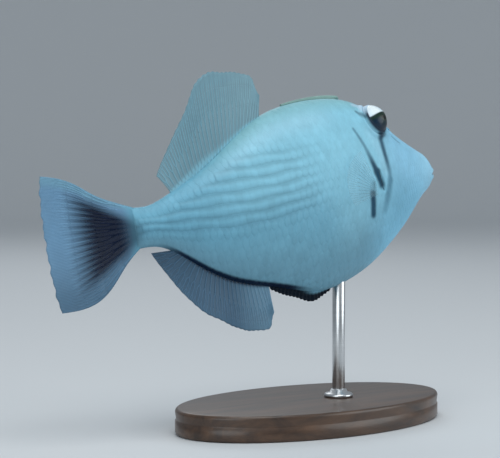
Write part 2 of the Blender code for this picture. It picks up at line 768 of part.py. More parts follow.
def add_ventral_flap(parent):
    """The fold of skin that joins the pelvic spine's knob to the vent, with ribs of stiff scales."""
    edge = smooth_curve(FLAP_EDGE)
    start, end = FLAP_SPAN

    def middle(u, v):
        station = start + (end - start) * u
        root = belly_line(station) * STANDARD_LENGTH - GAP
        tip = min(edge(u) * STANDARD_LENGTH, root - 0.0006)
        return Vector((-station * STANDARD_LENGTH, 0, root + (tip - root) * v))

    def thickness(u, v):
        skin = (FLAP_THICKNESS + (FLAP_EDGE_THICKNESS - FLAP_THICKNESS) * v) * (1 - 0.4 * u)
        rib = FLAP_RIB * (1 - math.cos(2 * math.pi * FLAP_RIBS * u)) / 2
        knob = PELVIC_KNOB * math.exp(-(((u - PELVIC_TIP) / 0.07) ** 2)) * v
        return skin + rib + knob

    bm = thin_sheet(middle, thickness, 2 * FLAP_RIBS, 3, Vector((0, 1, 0)))
    bend_mesh(bm)
    add_object("ventral_flap", mesh_from(bm, "ventral_flap"), "dark_skin", parent)


def rod_place(parent):
    """Where the rod meets the belly, in the scene."""
    belly = Vector((-ROD_STATION * STANDARD_LENGTH, 0, belly_line(ROD_STATION) * STANDARD_LENGTH))
    return parent.matrix_world @ bent(belly)


def upright_cylinder(name, radius, bottom, top, x, y):
    bm = bmesh.new()
    bmesh.ops.create_cone(
        bm, cap_ends=True, segments=24, radius1=radius, radius2=radius, depth=top - bottom
    )
    bmesh.ops.translate(bm, vec=(x, y, (top + bottom) / 2), verts=bm.verts)
    return mesh_from(bm, name)


def rod_socket(parent):
    """The hole in the belly that the rod stands in, seen from the fish's own frame."""
    place = rod_place(parent)
    mesh = upright_cylinder(
        "rod_socket", ROD_RADIUS + GAP, 0, place.z + ROD_SOCKET_DEPTH + GAP, place.x, place.y
    )
    mesh.transform(parent.matrix_world.inverted())
    return bpy.data.objects.new("rod_socket", mesh)


def add_stand(parent):
    place = rod_place(parent)
    rod = upright_cylinder(
        "stand_rod", ROD_RADIUS, BASE_HEIGHT + GAP, place.z + ROD_SOCKET_DEPTH, place.x, place.y
    )
    add_object("stand_rod", rod, "steel")
    bm = bmesh.new()
    bmesh.ops.create_cone(bm, cap_ends=True, segments=48, radius1=0.5, radius2=0.5, depth=1)
    size = Matrix.Diagonal((BASE_LENGTH, BASE_WIDTH, BASE_HEIGHT, 1))
    lift = Matrix.Translation((0, 0, BASE_HEIGHT / 2))
    bmesh.ops.transform(bm, matrix=lift @ size, verts=bm.verts)
    base = add_object("stand_base", mesh_from(bm, "stand_base"), "wood")
    bevel = base.modifiers.new("edge", "BEVEL")
    bevel.width = BASE_EDGE_RADIUS
    bevel.segments = 2
    bevel.limit_method = "ANGLE"


def add_pose():
    """The empty that carries the fish: nose up, back leaning to its left, over the base's middle."""
    pose = bpy.data.objects.new("fish_pose", None)
    bpy.data.collections["boomerang_triggerfish"].objects.link(pose)
    pitch = Matrix.Rotation(math.radians(-PITCH_DEG), 4, "Y")
    roll = Matrix.Rotation(math.radians(-ROLL_DEG), 4, "X")
    shift = Matrix.Translation((AXIS_STATION_OVER_BASE * STANDARD_LENGTH, 0, 0))
    pose.matrix_world = Matrix.Translation((0, 0, AXIS_HEIGHT)) @ pitch @ roll @ shift
    bpy.context.view_layer.update()
    return pose


def main():
    clear_scene()
    group = bpy.data.collections.new("boomerang_triggerfish")
    bpy.context.scene.collection.children.link(group)
    pose = add_pose()
    add_head(pose)
    add_trunk_and_tail_stalk(pose)
    add_eyes(pose)
    add_first_dorsal_fin(pose)
    add_ribbon_fin("second_dorsal_fin", pose, back_line, SECOND_DORSAL)
    add_ribbon_fin("anal_fin", pose, belly_line, ANAL)
    add_caudal_fin(pose)
    add_pectoral_fins(pose)
    add_ventral_flap(pose)
    add_stand(pose)


main()
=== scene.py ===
"""Looks of the life-size boomerang triggerfish on its stand: skin, scales, fins, eyes, stand and light.

Shapes are made straight, with the snout at the origin and the head towards +X, in stations and levels:
shares of the standard length along the fish and above its axis. place() then bends and tilts them as
the solids are. A pair of values for ease() is where a change starts and ends, and for hump() its middle
and its spread.
"""

import math

import bmesh
import bpy
import numpy as np
from mathutils import Matrix, Vector


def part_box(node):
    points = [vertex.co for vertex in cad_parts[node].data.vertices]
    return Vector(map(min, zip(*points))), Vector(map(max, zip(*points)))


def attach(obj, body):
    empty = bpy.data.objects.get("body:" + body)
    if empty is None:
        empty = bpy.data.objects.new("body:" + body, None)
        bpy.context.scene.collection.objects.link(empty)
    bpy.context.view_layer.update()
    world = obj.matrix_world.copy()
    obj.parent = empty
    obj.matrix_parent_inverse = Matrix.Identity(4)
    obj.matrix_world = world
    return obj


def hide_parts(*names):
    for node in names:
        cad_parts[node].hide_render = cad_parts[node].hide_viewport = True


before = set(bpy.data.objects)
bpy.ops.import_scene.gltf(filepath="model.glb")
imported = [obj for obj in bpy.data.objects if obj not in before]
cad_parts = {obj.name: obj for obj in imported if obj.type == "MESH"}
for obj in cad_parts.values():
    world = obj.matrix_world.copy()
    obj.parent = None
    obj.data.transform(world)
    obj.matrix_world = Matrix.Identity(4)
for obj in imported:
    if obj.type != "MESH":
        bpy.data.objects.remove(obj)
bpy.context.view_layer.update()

# Sizes and pose of the fish, as the solids have them. LENGTH, AXIS_HEIGHT, the sizes of eyes, orbits and
# pectoral fins, the fins' wave and the radii of the spines are in metres
LENGTH = 0.178
PITCH_DEG, ROLL_DEG = 6.5, 6.5
AXIS_HEIGHT = 0.108
AXIS_STATION_OVER_BASE = 0.45
BEND_START, BEND_GROWTH = 0.42, 1.3
BEND_AT_TAIL_ROOT_DEG = 14.5
BEND_PAST_ROOT_DEG_PER_STATION = 22.5
SNOUT_TIP, SNOUT_ROUNDING = -0.008, 0.040
BACK_LINE = [
    (-0.01, 0.042), (0.07, 0.090), (0.14, 0.136), (0.20, 0.185), (0.27, 0.232), (0.34, 0.250),
    (0.43, 0.254), (0.52, 0.246), (0.60, 0.224), (0.70, 0.170), (0.80, 0.112), (0.90, 0.068),
    (0.96, 0.050), (1.0, 0.052),
]
BELLY_LINE = [
    (-0.01, -0.028), (0.05, -0.056), (0.12, -0.113), (0.19, -0.162), (0.27, -0.206), (0.37, -0.240),
    (0.46, -0.252), (0.52, -0.245), (0.60, -0.222), (0.68, -0.200), (0.75, -0.176), (0.82, -0.136),
    (0.88, -0.092), (0.94, -0.058), (1.0, -0.053),
]
HALF_WIDTH = [
    (-0.01, 0.032), (0.07, 0.052), (0.13, 0.067), (0.20, 0.081), (0.28, 0.092), (0.38, 0.097),
    (0.50, 0.093), (0.62, 0.077), (0.75, 0.054), (0.88, 0.034), (1.0, 0.018),
]
WIDEST_LEVEL = [(-0.01, 0.006), (0.13, 0.020), (0.28, 0.022), (0.45, 0.010), (0.70, 0.0), (1.0, 0.0)]
BACK_FULLNESS = [(-0.01, 2.1), (0.12, 2.3), (0.24, 2.5), (0.40, 2.1), (0.65, 1.9), (1.0, 2.1)]
BELLY_FULLNESS = [(-0.01, 2.1), (0.15, 1.95), (0.35, 1.8), (0.60, 1.8), (0.80, 1.9), (1.0, 2.1)]
EYE_STATION, EYE_LEVEL, EYE_OUT = 0.240, 0.174, 0.0114
EYE_RADIUS, EYE_DEPTH = 0.0076, 0.0060
EYE_TURN_UP_DEG, EYE_TURN_FORWARD_DEG = 24.0, 20.0
ORBIT_SWELL, ORBIT_SPREAD = 0.0018, 0.0085
SECOND_DORSAL = {
    "base": (0.585, 0.885), "rays": 28,
    "corners": [(0.570, 0.285), (0.565, 0.350), (0.770, 0.366), (0.835, 0.240), (0.905, 0.120)],
}
ANAL = {
    "base": (0.640, 0.905), "rays": 25,
    "corners": [(0.635, -0.280), (0.635, -0.328), (0.745, -0.308), (0.875, -0.235), (0.955, -0.070)],
}
CORNER_ROUNDING, CORNER_STEPS, RAYS_CLOSER_AT_FRONT = 0.35, 8, 1.2
FIN_WAVES, FIN_WAVE_REACH = 1.25, 0.0048
CAUDAL_LENGTH, CAUDAL_EDGE_ROUNDING, CAUDAL_RAYS = 0.236, 0.05, 12
CAUDAL_UPPER_REACH = [(0.0, 0.051), (0.25, 0.076), (0.45, 0.101), (0.60, 0.127), (0.80, 0.152), (1.0, 0.165)]
CAUDAL_LOWER_REACH = [(0.0, 0.052), (0.20, 0.090), (0.35, 0.127), (0.50, 0.156), (0.70, 0.174), (1.0, 0.176)]
PECTORAL_STATION, PECTORAL_LEVEL, PECTORAL_RAYS = 0.300, -0.008, 13
PECTORAL_ROOT_HALF, PECTORAL_LENGTH, PECTORAL_LIFT = 0.0030, 0.0225, 0.13
PECTORAL_UPPER_DEG, PECTORAL_LOWER_DEG = 62.0, -10.0
DORSAL_SPINES = [(0.295, 0.145, 0.00110), (0.350, 0.115, 0.00085), (0.392, 0.100, 0.00065)]
FLAP_SPAN = (0.435, 0.635)
FLAP_EDGE = [(0.0, -0.254), (0.20, -0.268), (0.35, -0.272), (0.55, -0.256), (0.75, -0.242), (1.0, -0.218)]
PELVIC_TIP = 0.28
MOUTH_LEVEL, MOUTH_ARCH = 0.006, 32.0
NOSTRILS = [(0.183, 0.151), (0.171, 0.143)]
GROOVE = ((0.186, 0.134), (0.138, 0.098))
GILL_SLIT = ((0.272, 0.034), (0.263, -0.016))
SIDES = {"right": -1.0, "left": 1.0}

# Camera, as measured from the photograph's outline
CAMERA_AZIMUTH_DEG, CAMERA_ELEVATION_DEG, CAMERA_DISTANCE = -41.0, 3.0, 0.9
CAMERA_ASIDE, CAMERA_UP = -0.0287, -0.0154
CAMERA_FOCAL_PX, FRAME_WIDTH_PX, SENSOR_MM = 1902.0, 500.0, 36.0

# Lights: azimuth and elevation in degrees, distance, width and height in metres, watts and colour
LIGHTS = {
    "top": (-30, 66, 1.1, 0.9, 0.9, 6.4, (0.97, 1.0, 1.0)),
    "side": (-62, 13, 1.3, 1.1, 0.72, 4.25, (0.92, 0.98, 1.0)),
    "front": (40, 15, 1.3, 1.1, 0.78, 5.05, (0.92, 0.98, 1.0)),
    "behind": (150, 35, 1.4, 0.8, 0.8, 2.6, (0.95, 0.98, 1.0)),
}
SKY, SKY_STRENGTH = (0.80, 0.88, 0.95, 1), 0.45
FLOOR_COLOUR, FLOOR_FLAT, FLOOR_SWEEP, FLOOR_WALL = (0.62, 0.64, 0.66, 1), 2.0, 0.8, 1.1

# Colours of the fish in bluish water, as sRGB. Some are also laid on as painted light and shade, as said
# where they are used
COLOURS = {
    "back": (127, 178, 188), "flank": (133, 191, 211), "belly": (101, 146, 166), "head": (136, 191, 218),
    "rear": (106, 164, 188), "chin": (120, 182, 210), "bar": (0, 60, 84), "soft_bar": (78, 128, 150),
    "line": (0, 26, 52), "orbit": (22, 42, 60), "brow_highlight": (178, 205, 224), "pale": (178, 214, 228),
    "lip": (146, 190, 208), "fin": (122, 156, 168), "anal": (57, 89, 113), "ray": (112, 154, 170),
    "anal_ray": (70, 100, 124), "caudal": (107, 146, 176), "caudal_margin": (116, 160, 184),
    "blotch": (2, 18, 44), "spine": (124, 160, 154), "flap": (1, 14, 28), "pectoral": (168, 202, 216),
    "iris": (24, 44, 50), "iris_ring": (58, 70, 52), "under_brow": (14, 44, 34), "mask": (12, 38, 58),
    "white": (234, 243, 244), "snout": (150, 200, 224), "deep": (92, 148, 172), "anal_front": (115, 153, 177),
}

# Fineness of the meshes
SNOUT_RINGS, HEAD_RINGS, BODY_RINGS, SKIN_RING = 70, 120, 178, 240
PLATE_ALONG, PLATE_ACROSS = 7, 9
RIBBON_MESH, CAUDAL_MESH, PECTORAL_MESH, FLAP_MESH = (5, 26), (14, 46), (5, 20), (12, 24)
RAY_SIDES, SPINE_SIDES, TOOTH_SIDES = 6, 14, 10
EYE_RINGS, EYE_ROUND, LID_RINGS, LID_ROUND = 72, 96, 22, 120
NOSTRIL_ROUND, NOSTRIL_RIM_ROUND = 28, 10
BASE_SIDES, ROD_SIDES, FLOOR_SIDES = 220, 64, 160
NORMAL_STEP = 0.0015
TINY = 1e-9
rng = np.random.default_rng(7)


def linear(name):
    """A named colour as linear RGB."""
    share = np.array(COLOURS[name], float) / 255
    return np.where(share <= 0.04045, share / 12.92, ((share + 0.055) / 1.055) ** 2.4)


def coat(points, name):
    """One colour for every point."""
    return np.ones((len(points), 3)) * linear(name)


def mixed(paint, name, amount):
    """Paint with a named colour laid over it by an amount from 0 to 1 at each point."""
    return paint + (linear(name) - paint) * np.clip(amount, 0, 1)[..., None]


def lit(paint, amount):
    """Paint made brighter by a share at each point, or darker where the share is below 0."""
    return paint * (1 + amount)[:, None]


def layered(paint, *layers):
    """Paint under layers of (colour, amount), or of (None, share) for more or less light."""
    for colour, amount in layers:
        paint = mixed(paint, colour, amount) if colour else lit(paint, amount)
    return paint


def spline(points):
    """A natural cubic spline through (place, value) pairs, for arrays of places."""
    x, y = np.array(points, float).T
    n, step = len(x), np.diff(x)
    system, right = np.eye(n), np.zeros(n)
    for i in range(1, n - 1):
        system[i, i - 1 : i + 2] = step[i - 1], 2 * (step[i - 1] + step[i]), step[i]
        right[i] = 6 * ((y[i + 1] - y[i]) / step[i] - (y[i] - y[i - 1]) / step[i - 1])
    bend = np.linalg.solve(system, right)

    def value(at):
        at = np.clip(np.asarray(at, float), x[0], x[-1])
        i = np.clip(np.searchsorted(x, at, side="right") - 1, 0, n - 2)
        after, before, h = at - x[i], x[i + 1] - at, step[i]
        curved = (bend[i] * before**3 + bend[i + 1] * after**3) / (6 * h)
        return curved + (y[i] / h - bend[i] * h / 6) * before + (y[i + 1] / h - bend[i + 1] * h / 6) * after

    return value


back_line, belly_line, half_width = spline(BACK_LINE), spline(BELLY_LINE), spline(HALF_WIDTH)
widest_level = spline(WIDEST_LEVEL)
back_fullness, belly_fullness = spline(BACK_FULLNESS), spline(BELLY_FULLNESS)


def ease(value, low, high):
    """0 below low, 1 above high, smooth between."""
    share = np.clip((value - low) / (high - low), 0, 1)
    return share * share * (3 - 2 * share)


def hump(value, middle, spread):
    """1 at the middle, falling off smoothly to both sides."""
    return np.exp(-(((value - middle) / spread) ** 2))


def wave(turns):
    """0 at whole turns and 1 halfway between them."""
    return 0.5 - 0.5 * np.cos(2 * math.pi * turns)


def section(station):
    """Half width, widest level, back and belly at stations, as shares."""
    left = 1 - np.clip((station - SNOUT_TIP) / SNOUT_ROUNDING, 0, 1)
    share = np.sqrt(np.maximum(1 - left * left, 0))
    level = widest_level(station)
    back = level + (back_line(station) - level) * share
    belly = level + (belly_line(station) - level) * share
    return half_width(station) * share, level, back, belly


def eye_centre(side):
    """The middle of an eye."""
    return np.array([-EYE_STATION * LENGTH, side * EYE_OUT, EYE_LEVEL * LENGTH])


def eye_look(side):
    """The way an eye looks: outwards, a little up and forward."""
    up, forward = math.radians(EYE_TURN_UP_DEG), math.radians(EYE_TURN_FORWARD_DEG)
    look = np.array([math.sin(forward), side * math.cos(forward) * math.cos(up), math.sin(up)])
    return look / np.linalg.norm(look)


def from_eye(points, side):
    """Offsets of points from the line that an eye looks along, and their lengths."""
    offset, look = points - eye_centre(side), eye_look(side)
    flat = offset - (offset @ look)[..., None] * look
    return flat, np.linalg.norm(flat, axis=-1)


def body_surface(station, angle):
    """Points of the straight body. The angle is 0 on the back and grows round the left side."""
    width, level, back, belly = section(station)
    up, out = np.cos(angle), np.sin(angle)
    power = 2 / np.where(up >= 0, back_fullness(station), belly_fullness(station))
    reach = np.where(up >= 0, back - level, level - belly)
    y = width * np.sign(out) * np.abs(out) ** power
    z = level + reach * np.sign(up) * np.abs(up) ** power
    points = np.stack([-station * np.ones_like(y), y, z], -1) * LENGTH
    for side in SIDES.values():
        away = np.linalg.norm(points - eye_centre(side), axis=-1)
        lean = np.clip(points[..., 1] * side / EYE_OUT, 0, 1)
        points[..., 1] += side * ORBIT_SWELL * np.exp(-((away / ORBIT_SPREAD) ** 2)) * lean
    return points


def body_normal(station, angle):
    """Outward normals of the straight body."""
    before = np.maximum(station - NORMAL_STEP, SNOUT_TIP)
    behind = body_surface(station + NORMAL_STEP, angle) - body_surface(before, angle)
    turn = 4 * NORMAL_STEP
    around = body_surface(station, angle + turn) - body_surface(station, angle - turn)
    normal = np.cross(around, behind)
    return normal / np.maximum(np.linalg.norm(normal, axis=-1, keepdims=True), 1e-12)


def flank_angle(station, level):
    """The angle, from 0 on the back to pi on the belly, where the body's side is at a level."""
    _, middle, back, belly = section(station)
    above = np.clip((level - middle) / np.maximum(back - middle, 1e-6), 0, 1)
    below = np.clip((middle - level) / np.maximum(middle - belly, 1e-6), 0, 1)
    upper = np.arccos(above ** (back_fullness(station) / 2))
    lower = np.arccos(-(below ** (belly_fullness(station) / 2)))
    return np.where(level >= middle, upper, lower)


def on_flank(station, level, side):
    """Points on one flank, and the outward normals there."""
    station, level = np.broadcast_arrays(np.asarray(station, float), np.asarray(level, float))
    angle = flank_angle(station, level) * side
    return body_surface(station, angle), body_normal(station, angle)


def segment_distance(station, level, start, end):
    """Distance from a straight line on the flank, in shares, and the share of the way along it."""
    run = np.array(end) - np.array(start)
    share = ((station - start[0]) * run[0] + (level - start[1]) * run[1]) / (run @ run)
    share = np.clip(share, 0, 1)
    return np.hypot(station - start[0] - run[0] * share, level - start[1] - run[1] * share), share


def heading(station):
    """How far the midline has turned to the fish's left, in radians."""
    share = np.clip((station - BEND_START) / (1 - BEND_START), 0, 1)
    past_root = np.maximum(station - 1, 0) * BEND_PAST_ROOT_DEG_PER_STATION
    return np.radians(BEND_AT_TAIL_ROOT_DEG * share**BEND_GROWTH + past_root)


MIDLINE_STEP = 0.005
MIDLINE_STATIONS = np.arange(0, 1.4, MIDLINE_STEP)
MIDLINE_TURNS = heading(MIDLINE_STATIONS + MIDLINE_STEP / 2)
MIDLINE_X = -LENGTH * MIDLINE_STEP * np.concatenate([[0], np.cumsum(np.cos(MIDLINE_TURNS))[:-1]])
MIDLINE_Y = LENGTH * MIDLINE_STEP * np.concatenate([[0], np.cumsum(np.sin(MIDLINE_TURNS))[:-1]])
POSE = (
    Matrix.Translation((0, 0, AXIS_HEIGHT))
    @ Matrix.Rotation(math.radians(-PITCH_DEG), 4, "Y")
    @ Matrix.Rotation(math.radians(-ROLL_DEG), 4, "X")
    @ Matrix.Translation((AXIS_STATION_OVER_BASE * LENGTH, 0, 0))
)


def place(points):
    """Bends and tilts points of the straight fish to where they lie in the frame."""
    points = np.asarray(points, float).reshape(-1, 3)
    station = -points[:, 0] / LENGTH
    turn = heading(station)
    x = np.interp(station, MIDLINE_STATIONS, MIDLINE_X) + points[:, 1] * np.sin(turn)
    y = np.interp(station, MIDLINE_STATIONS, MIDLINE_Y) + points[:, 1] * np.cos(turn)
    straight = station <= BEND_START
    x, y = np.where(straight, points[:, 0], x), np.where(straight, points[:, 1], y)
    pose = np.array(POSE)
    return np.stack([x, y, points[:, 2]], 1) @ pose[:3, :3].T + pose[:3, 3]


def mesh_object(name, points, faces, material):
    """A smooth object of one material in the scene, from arrays."""
    mesh = bpy.data.meshes.new(name)
    mesh.from_pydata(np.asarray(points, float).tolist(), [], [tuple(map(int, f)) for f in faces])
    mesh.materials.append(material)
    mesh.shade_smooth()
    obj = bpy.data.objects.new(name, mesh)
    bpy.context.scene.collection.objects.link(obj)
    return obj


def make_object(name, points, faces, material, paint=None, stands_for=(), bake=None, closed=True):
    """An object in the frame, painted point by point and riding on the one body."""
    obj = mesh_object(name, points, faces, material)
    mesh = obj.data
    if paint is not None:
        layer = mesh.color_attributes.new("paint", "FLOAT_COLOR", "POINT")
        opaque = np.hstack([paint, np.ones((len(paint), 1))])
        layer.data.foreach_set("color", opaque.astype(np.float32).ravel())
    if bake is not None:
        uv = mesh.uv_layers.new(name="OFBake")
        corners = np.zeros(len(mesh.loops), np.int32)
        mesh.loops.foreach_get("vertex_index", corners)
        uv.data.foreach_set("uv", bake[corners].astype(np.float32).ravel())
    if closed:
        bm = bmesh.new()
        bm.from_mesh(mesh)
        bmesh.ops.recalc_face_normals(bm, faces=bm.faces)
        bm.to_mesh(mesh)
        bm.free()
    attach(obj, "root")
    if stands_for:
        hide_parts(*stands_for)
    return obj


def grid_faces(rows, columns, rows_wrap=False, columns_wrap=False):
    """Quads over a grid of rows by columns of vertices, wrapped round either way if asked."""
    i, j = np.arange(rows if rows_wrap else rows - 1), np.arange(columns if columns_wrap else columns - 1)
    i, j = np.meshgrid(i, j, indexing="ij")
    m, k = (i + 1) % rows, (j + 1) % columns
    return np.stack([i * columns + j, i * columns + k, m * columns + k, m * columns + j], -1).reshape(-1, 4)


def capped_faces(rows, columns):
    """Faces over a grid that is wrapped round its columns and closed at both ends."""
    last = (rows - 1) * columns
    caps = [list(range(columns))[::-1], list(range(last, last + columns))]
    return grid_faces(rows, columns, columns_wrap=True).tolist() + caps


def circle(count):
    """Angles evenly spaced round a circle."""
    return np.arange(count) * 2 * math.pi / count


def tube(path, radii, sides, flat=1.0, up=(0, 0, 1)):
    """Points and faces of a closed round tube along a path, flattened across the up direction."""
    path, radii = np.asarray(path, float), np.asarray(radii, float)
    along = np.gradient(path, axis=0)
    along /= np.linalg.norm(along, axis=1, keepdims=True)
    across = np.cross(along, np.array(up, float))
    across /= np.maximum(np.linalg.norm(across, axis=1, keepdims=True), TINY)
    rise = np.cross(across, along)
    angle = circle(sides)
    cos, sin = np.cos(angle)[None, :, None], np.sin(angle)[None, :, None]
    ring = across[:, None] * cos * flat + rise[:, None] * sin
    points = (path[:, None] + ring * radii[:, None, None]).reshape(-1, 3)
    return points, capped_faces(len(path), sides)


def joined(pieces):
    """Several (points, faces) pieces as one."""
    points, faces, start = [], [], 0
    for part_points, part_faces in pieces:
        points.append(part_points)
        faces += [[v + start for v in face] for face in part_faces]
        start += len(part_points)
    return np.vstack(points), faces


# Rows of scales: levels along the fish, keeled on the rear flank

KEEL_TOP_LEVEL, KEEL_SPACING = 0.142, 0.0288
KEEL_CLOSING = [(0.45, 0.86), (0.55, 0.92), (0.68, 1.0), (0.82, 0.98), (0.92, 0.77), (0.97, 0.64)]
KEEL_RISE = [(0.45, 0.026), (0.68, 0.005), (0.82, 0.009), (0.97, 0.014)]
HEAD_CLOSING, HEAD_CLOSING_ENDS = 0.52, (-0.02, 0.42)
KEELS_START, KEELS_BELOW_BACK = (0.42, 0.60), (0.020, 0.045)
UPPER_KEELED_ROWS, LOWER_KEELED_ROWS = (-1.2, 1.4), (5.6, 7.8)
GROOVE_NARROWNESS = 1.8
keel_closing, keel_rise = spline(KEEL_CLOSING), spline(KEEL_RISE)


def row_closing(station):
    """Scale rows lie closest together on the head and the tail stalk."""
    return keel_closing(station) * (HEAD_CLOSING + (1 - HEAD_CLOSING) * ease(station, *HEAD_CLOSING_ENDS))


def row_level(row, station):
    """The level of a row's middle, as the keels of the solids have it."""
    return (KEEL_TOP_LEVEL - KEEL_SPACING * row) * row_closing(station) + keel_rise(station)


def row_at(station, level):
    """The row, with a fraction, that passes a place on the flank."""
    return (KEEL_TOP_LEVEL - (level - keel_rise(station)) / row_closing(station)) / KEEL_SPACING


def keel_strength(station, level):
    """How strongly the scales are keeled: in the rows of the rear flank that catch the light."""
    row = row_at(station, level)
    rows = ease(row, *UPPER_KEELED_ROWS) * (1 - ease(row, *LOWER_KEELED_ROWS))
    return ease(station, *KEELS_START) * rows * ease(back_line(station) - level, *KEELS_BELOW_BACK)


# Paint of the skin. Areas go by station, and by height from 0 at the belly to 1 at the back

LIPS_END, LIPS_SPREAD = (0.006, 0.028), 0.0045
PATCH_STATION, PATCH_LEVEL = (0.337, 0.022), (0.020, 0.045)
GROOVE_SHADE = 0.22
LINE_THICKNESS, LINE_NARROWING, LINE_NARROWS = 0.0115, 0.004, (0.70, 0.95)
LINE_START, LINE_END, LINE_SOFTNESS = (0.50, 0.58), (0.88, 0.96), (-0.004, 0.003)
BLOTCH_ROOT, BLOTCH_EDGE = (-0.045, 0.050), (0.104, 0.188)
BLOTCH_TOP, BLOTCH_TOP_GROWTH, BLOTCH_TOP_SOFTNESS = 0.020, 0.60, (-0.022, 0.016)
BLOTCH_BOTTOM, BLOTCH_BOTTOM_GROWTH, BLOTCH_BOTTOM_SOFTNESS = -0.045, 0.62, (-0.018, 0.026)


def always(amount):
    """The same amount at every place."""
    return lambda value: amount


def rising(low, high):
    """From 0 below low to 1 above high."""
    return lambda value: ease(value, low, high)


def falling(low, high, least=0.0):
    """From 1 below low to the least above high."""
    return lambda value: 1 - (1 - least) * ease(value, low, high)


def around(middle, spread):
    """1 at the middle, less to both sides."""
    return lambda value: hump(value, middle, spread)


# Broad areas: colour, or None for more light, the amount, and how it changes by height and by station
AREAS = [
    # Painted highlight: a pale band along the upper flank, where light from above falls
    ("pale", 0.28, around(0.91, 0.07), rising(0.34, 0.48)),
    ("back", 1, rising(0.89, 1.0), always(1)),
    ("head", 1, always(1), falling(0.16, 0.30)),
    ("rear", 0.9, always(1), rising(0.62, 0.88)),
    # Painted shade: the belly's darker colour, laid on towards the belly, which light from above leaves in
    # shade
    ("belly", 1, falling(0.06, 0.56), rising(0.12, 0.32)),
    # Painted light: the belly's lower edge made brighter, standing in for light from below
    (None, 0.26, falling(0.0, 0.18), falling(0.60, 0.76, 0.2)),
    ("chin", 0.9, falling(0.1, 0.6), falling(0.20, 0.38)),
    # Painted light: the lower edge of the head made brighter, standing in for light from below
    (None, 0.20, falling(0.0, 0.28), falling(0.20, 0.34)),
    # Painted shade: a darker blue along the lower side, where less of the light from above falls
    ("deep", 0.62, around(0.38, 0.20), lambda at: ease(at, 0.38, 0.50) + 0.7 * hump(at, 0.19, 0.06)),
    ("snout", 0.8, always(1), falling(0.02, 0.12)),
]

# Strokes: colour, softness, route as (station, level, half width), and strength by level
STROKES = [
    ("pale", 0.80, [(0.275, 0.150, 0.020), (0.250, 0.070, 0.016), (0.245, 0.030, 0.010)], always(0.15)),
    (
        "bar", 0.85,
        [(0.243, 0.135, 0.0095), (0.237, 0.080, 0.0080), (0.230, 0.030, 0.0080), (0.231, 0.008, 0.0085)],
        lambda level: 0.45 + 0.45 * ease(level, 0.01, 0.08),
    ),
    (
        "soft_bar", 0.80, [(0.231, 0.008, 0.0090), (0.245, -0.025, 0.0115), (0.263, -0.070, 0.0100)],
        lambda level: 0.9 - 8 * np.maximum(-0.03 - level, 0),
    ),
    (
        "bar", 0.75,
        [(0.335, 0.160, 0.0035), (0.312, 0.110, 0.0050), (0.295, 0.065, 0.0080), (0.283, 0.035, 0.0105)],
        lambda level: 1 - 0.45 * ease(level, 0.05, 0.10),
    ),
    ("bar", 0.60, [(0.283, 0.035, 0.0105), (0.271, 0.000, 0.0110)], always(1)),
    ("bar", 0.60, [(0.311, -0.020, 0.0105), (0.313, -0.075, 0.0100)], always(1)),
    # Painted highlight: a pale stroke along the brow behind the eye, lit from above
    ("brow_highlight", 0.70, [(0.262, 0.216, 0.0080), (0.292, 0.223, 0.0040)], always(0.6)),
    ("orbit", 0.80, [(0.298, 0.204, 0.0030), (0.284, 0.188, 0.0060)], always(0.6)),
]

# Round the eye: distances in metres, and shares of the way up, down or back
BROW_REACH, BROW_UP = (0.0088, 0.0106), (0.40, 0.75)
RIM_REACH, RIM_DOWN, RIM_BACK, RIM_UP = (0.0074, 0.0082), (0.05, 0.5), (0.25, 0.7), (0.55, 0.85)
WEDGE_REACH, WEDGE_DOWN = (0.0086, 0.0106), (0.80, 0.97)


def stroke(station, level, route, softness):
    """How dark a brush stroke along (station, level, half width) points is, from 0 to 1."""
    dark = np.zeros_like(station)
    for (s0, l0, w0), (s1, l1, w1) in zip(route, route[1:]):
        far, share = segment_distance(station, level, (s0, l0), (s1, l1))
        half = w0 + (w1 - w0) * share
        dark = np.maximum(dark, 1 - ease(far, half * (1 - softness), half * (1 + softness)))
    return dark


def blotch_share(back, level, streak=0.0):
    """How dark the tail's blotch is at a share of the length behind the tail's root, and at a level."""
    over = level - BLOTCH_TOP - BLOTCH_TOP_GROWTH * back
    under = level - BLOTCH_BOTTOM + BLOTCH_BOTTOM_GROWTH * back
    inside = (1 - ease(over, *BLOTCH_TOP_SOFTNESS)) * ease(under, *BLOTCH_BOTTOM_SOFTNESS)
    return ease(back, *BLOTCH_ROOT) * (1 - ease(back + streak, *BLOTCH_EDGE)) * inside


def skin_paint(points, groove=None):
    """Colour of the skin at points of the straight fish, darker in the grooves between keeled rows."""
    station, level = -points[:, 0] / LENGTH, points[:, 2] / LENGTH
    _, _, back, belly = section(station)
    height = np.clip((level - belly) / np.maximum(back - belly, 1e-4), 0, 1)
    paint = coat(points, "flank")
    for colour, amount, by_height, by_station in AREAS:
        paint = layered(paint, (colour, amount * by_height(height) * by_station(station)))
    paint = mixed(paint, "rear", 0.15 * hump(station, *PATCH_STATION) * hump(level, *PATCH_LEVEL))
    for colour, softness, route, strength in STROKES:
        paint = mixed(paint, colour, stroke(station, level, route, softness) * strength(level))
    if groove is None:
        groove = wave(row_at(station, level)) ** GROOVE_NARROWNESS
    paint = lit(paint, -GROOVE_SHADE * groove * keel_strength(station, level))
    over_line = level - belly - LINE_THICKNESS + LINE_NARROWING * ease(station, *LINE_NARROWS)
    line = (1 - ease(over_line, *LINE_SOFTNESS)) * ease(station, *LINE_START) * (1 - ease(station, *LINE_END))
    paint = layered(paint, ("line", line), ("blotch", blotch_share(station - 1, level)))
    for side in SIDES.values():
        paint = paint_orbit(paint, points, side)
    lips = (1 - ease(station, *LIPS_END)) * hump(above_mouth(points), 0, LIPS_SPREAD)
    return mixed(paint, "lip", 0.7 * lips)


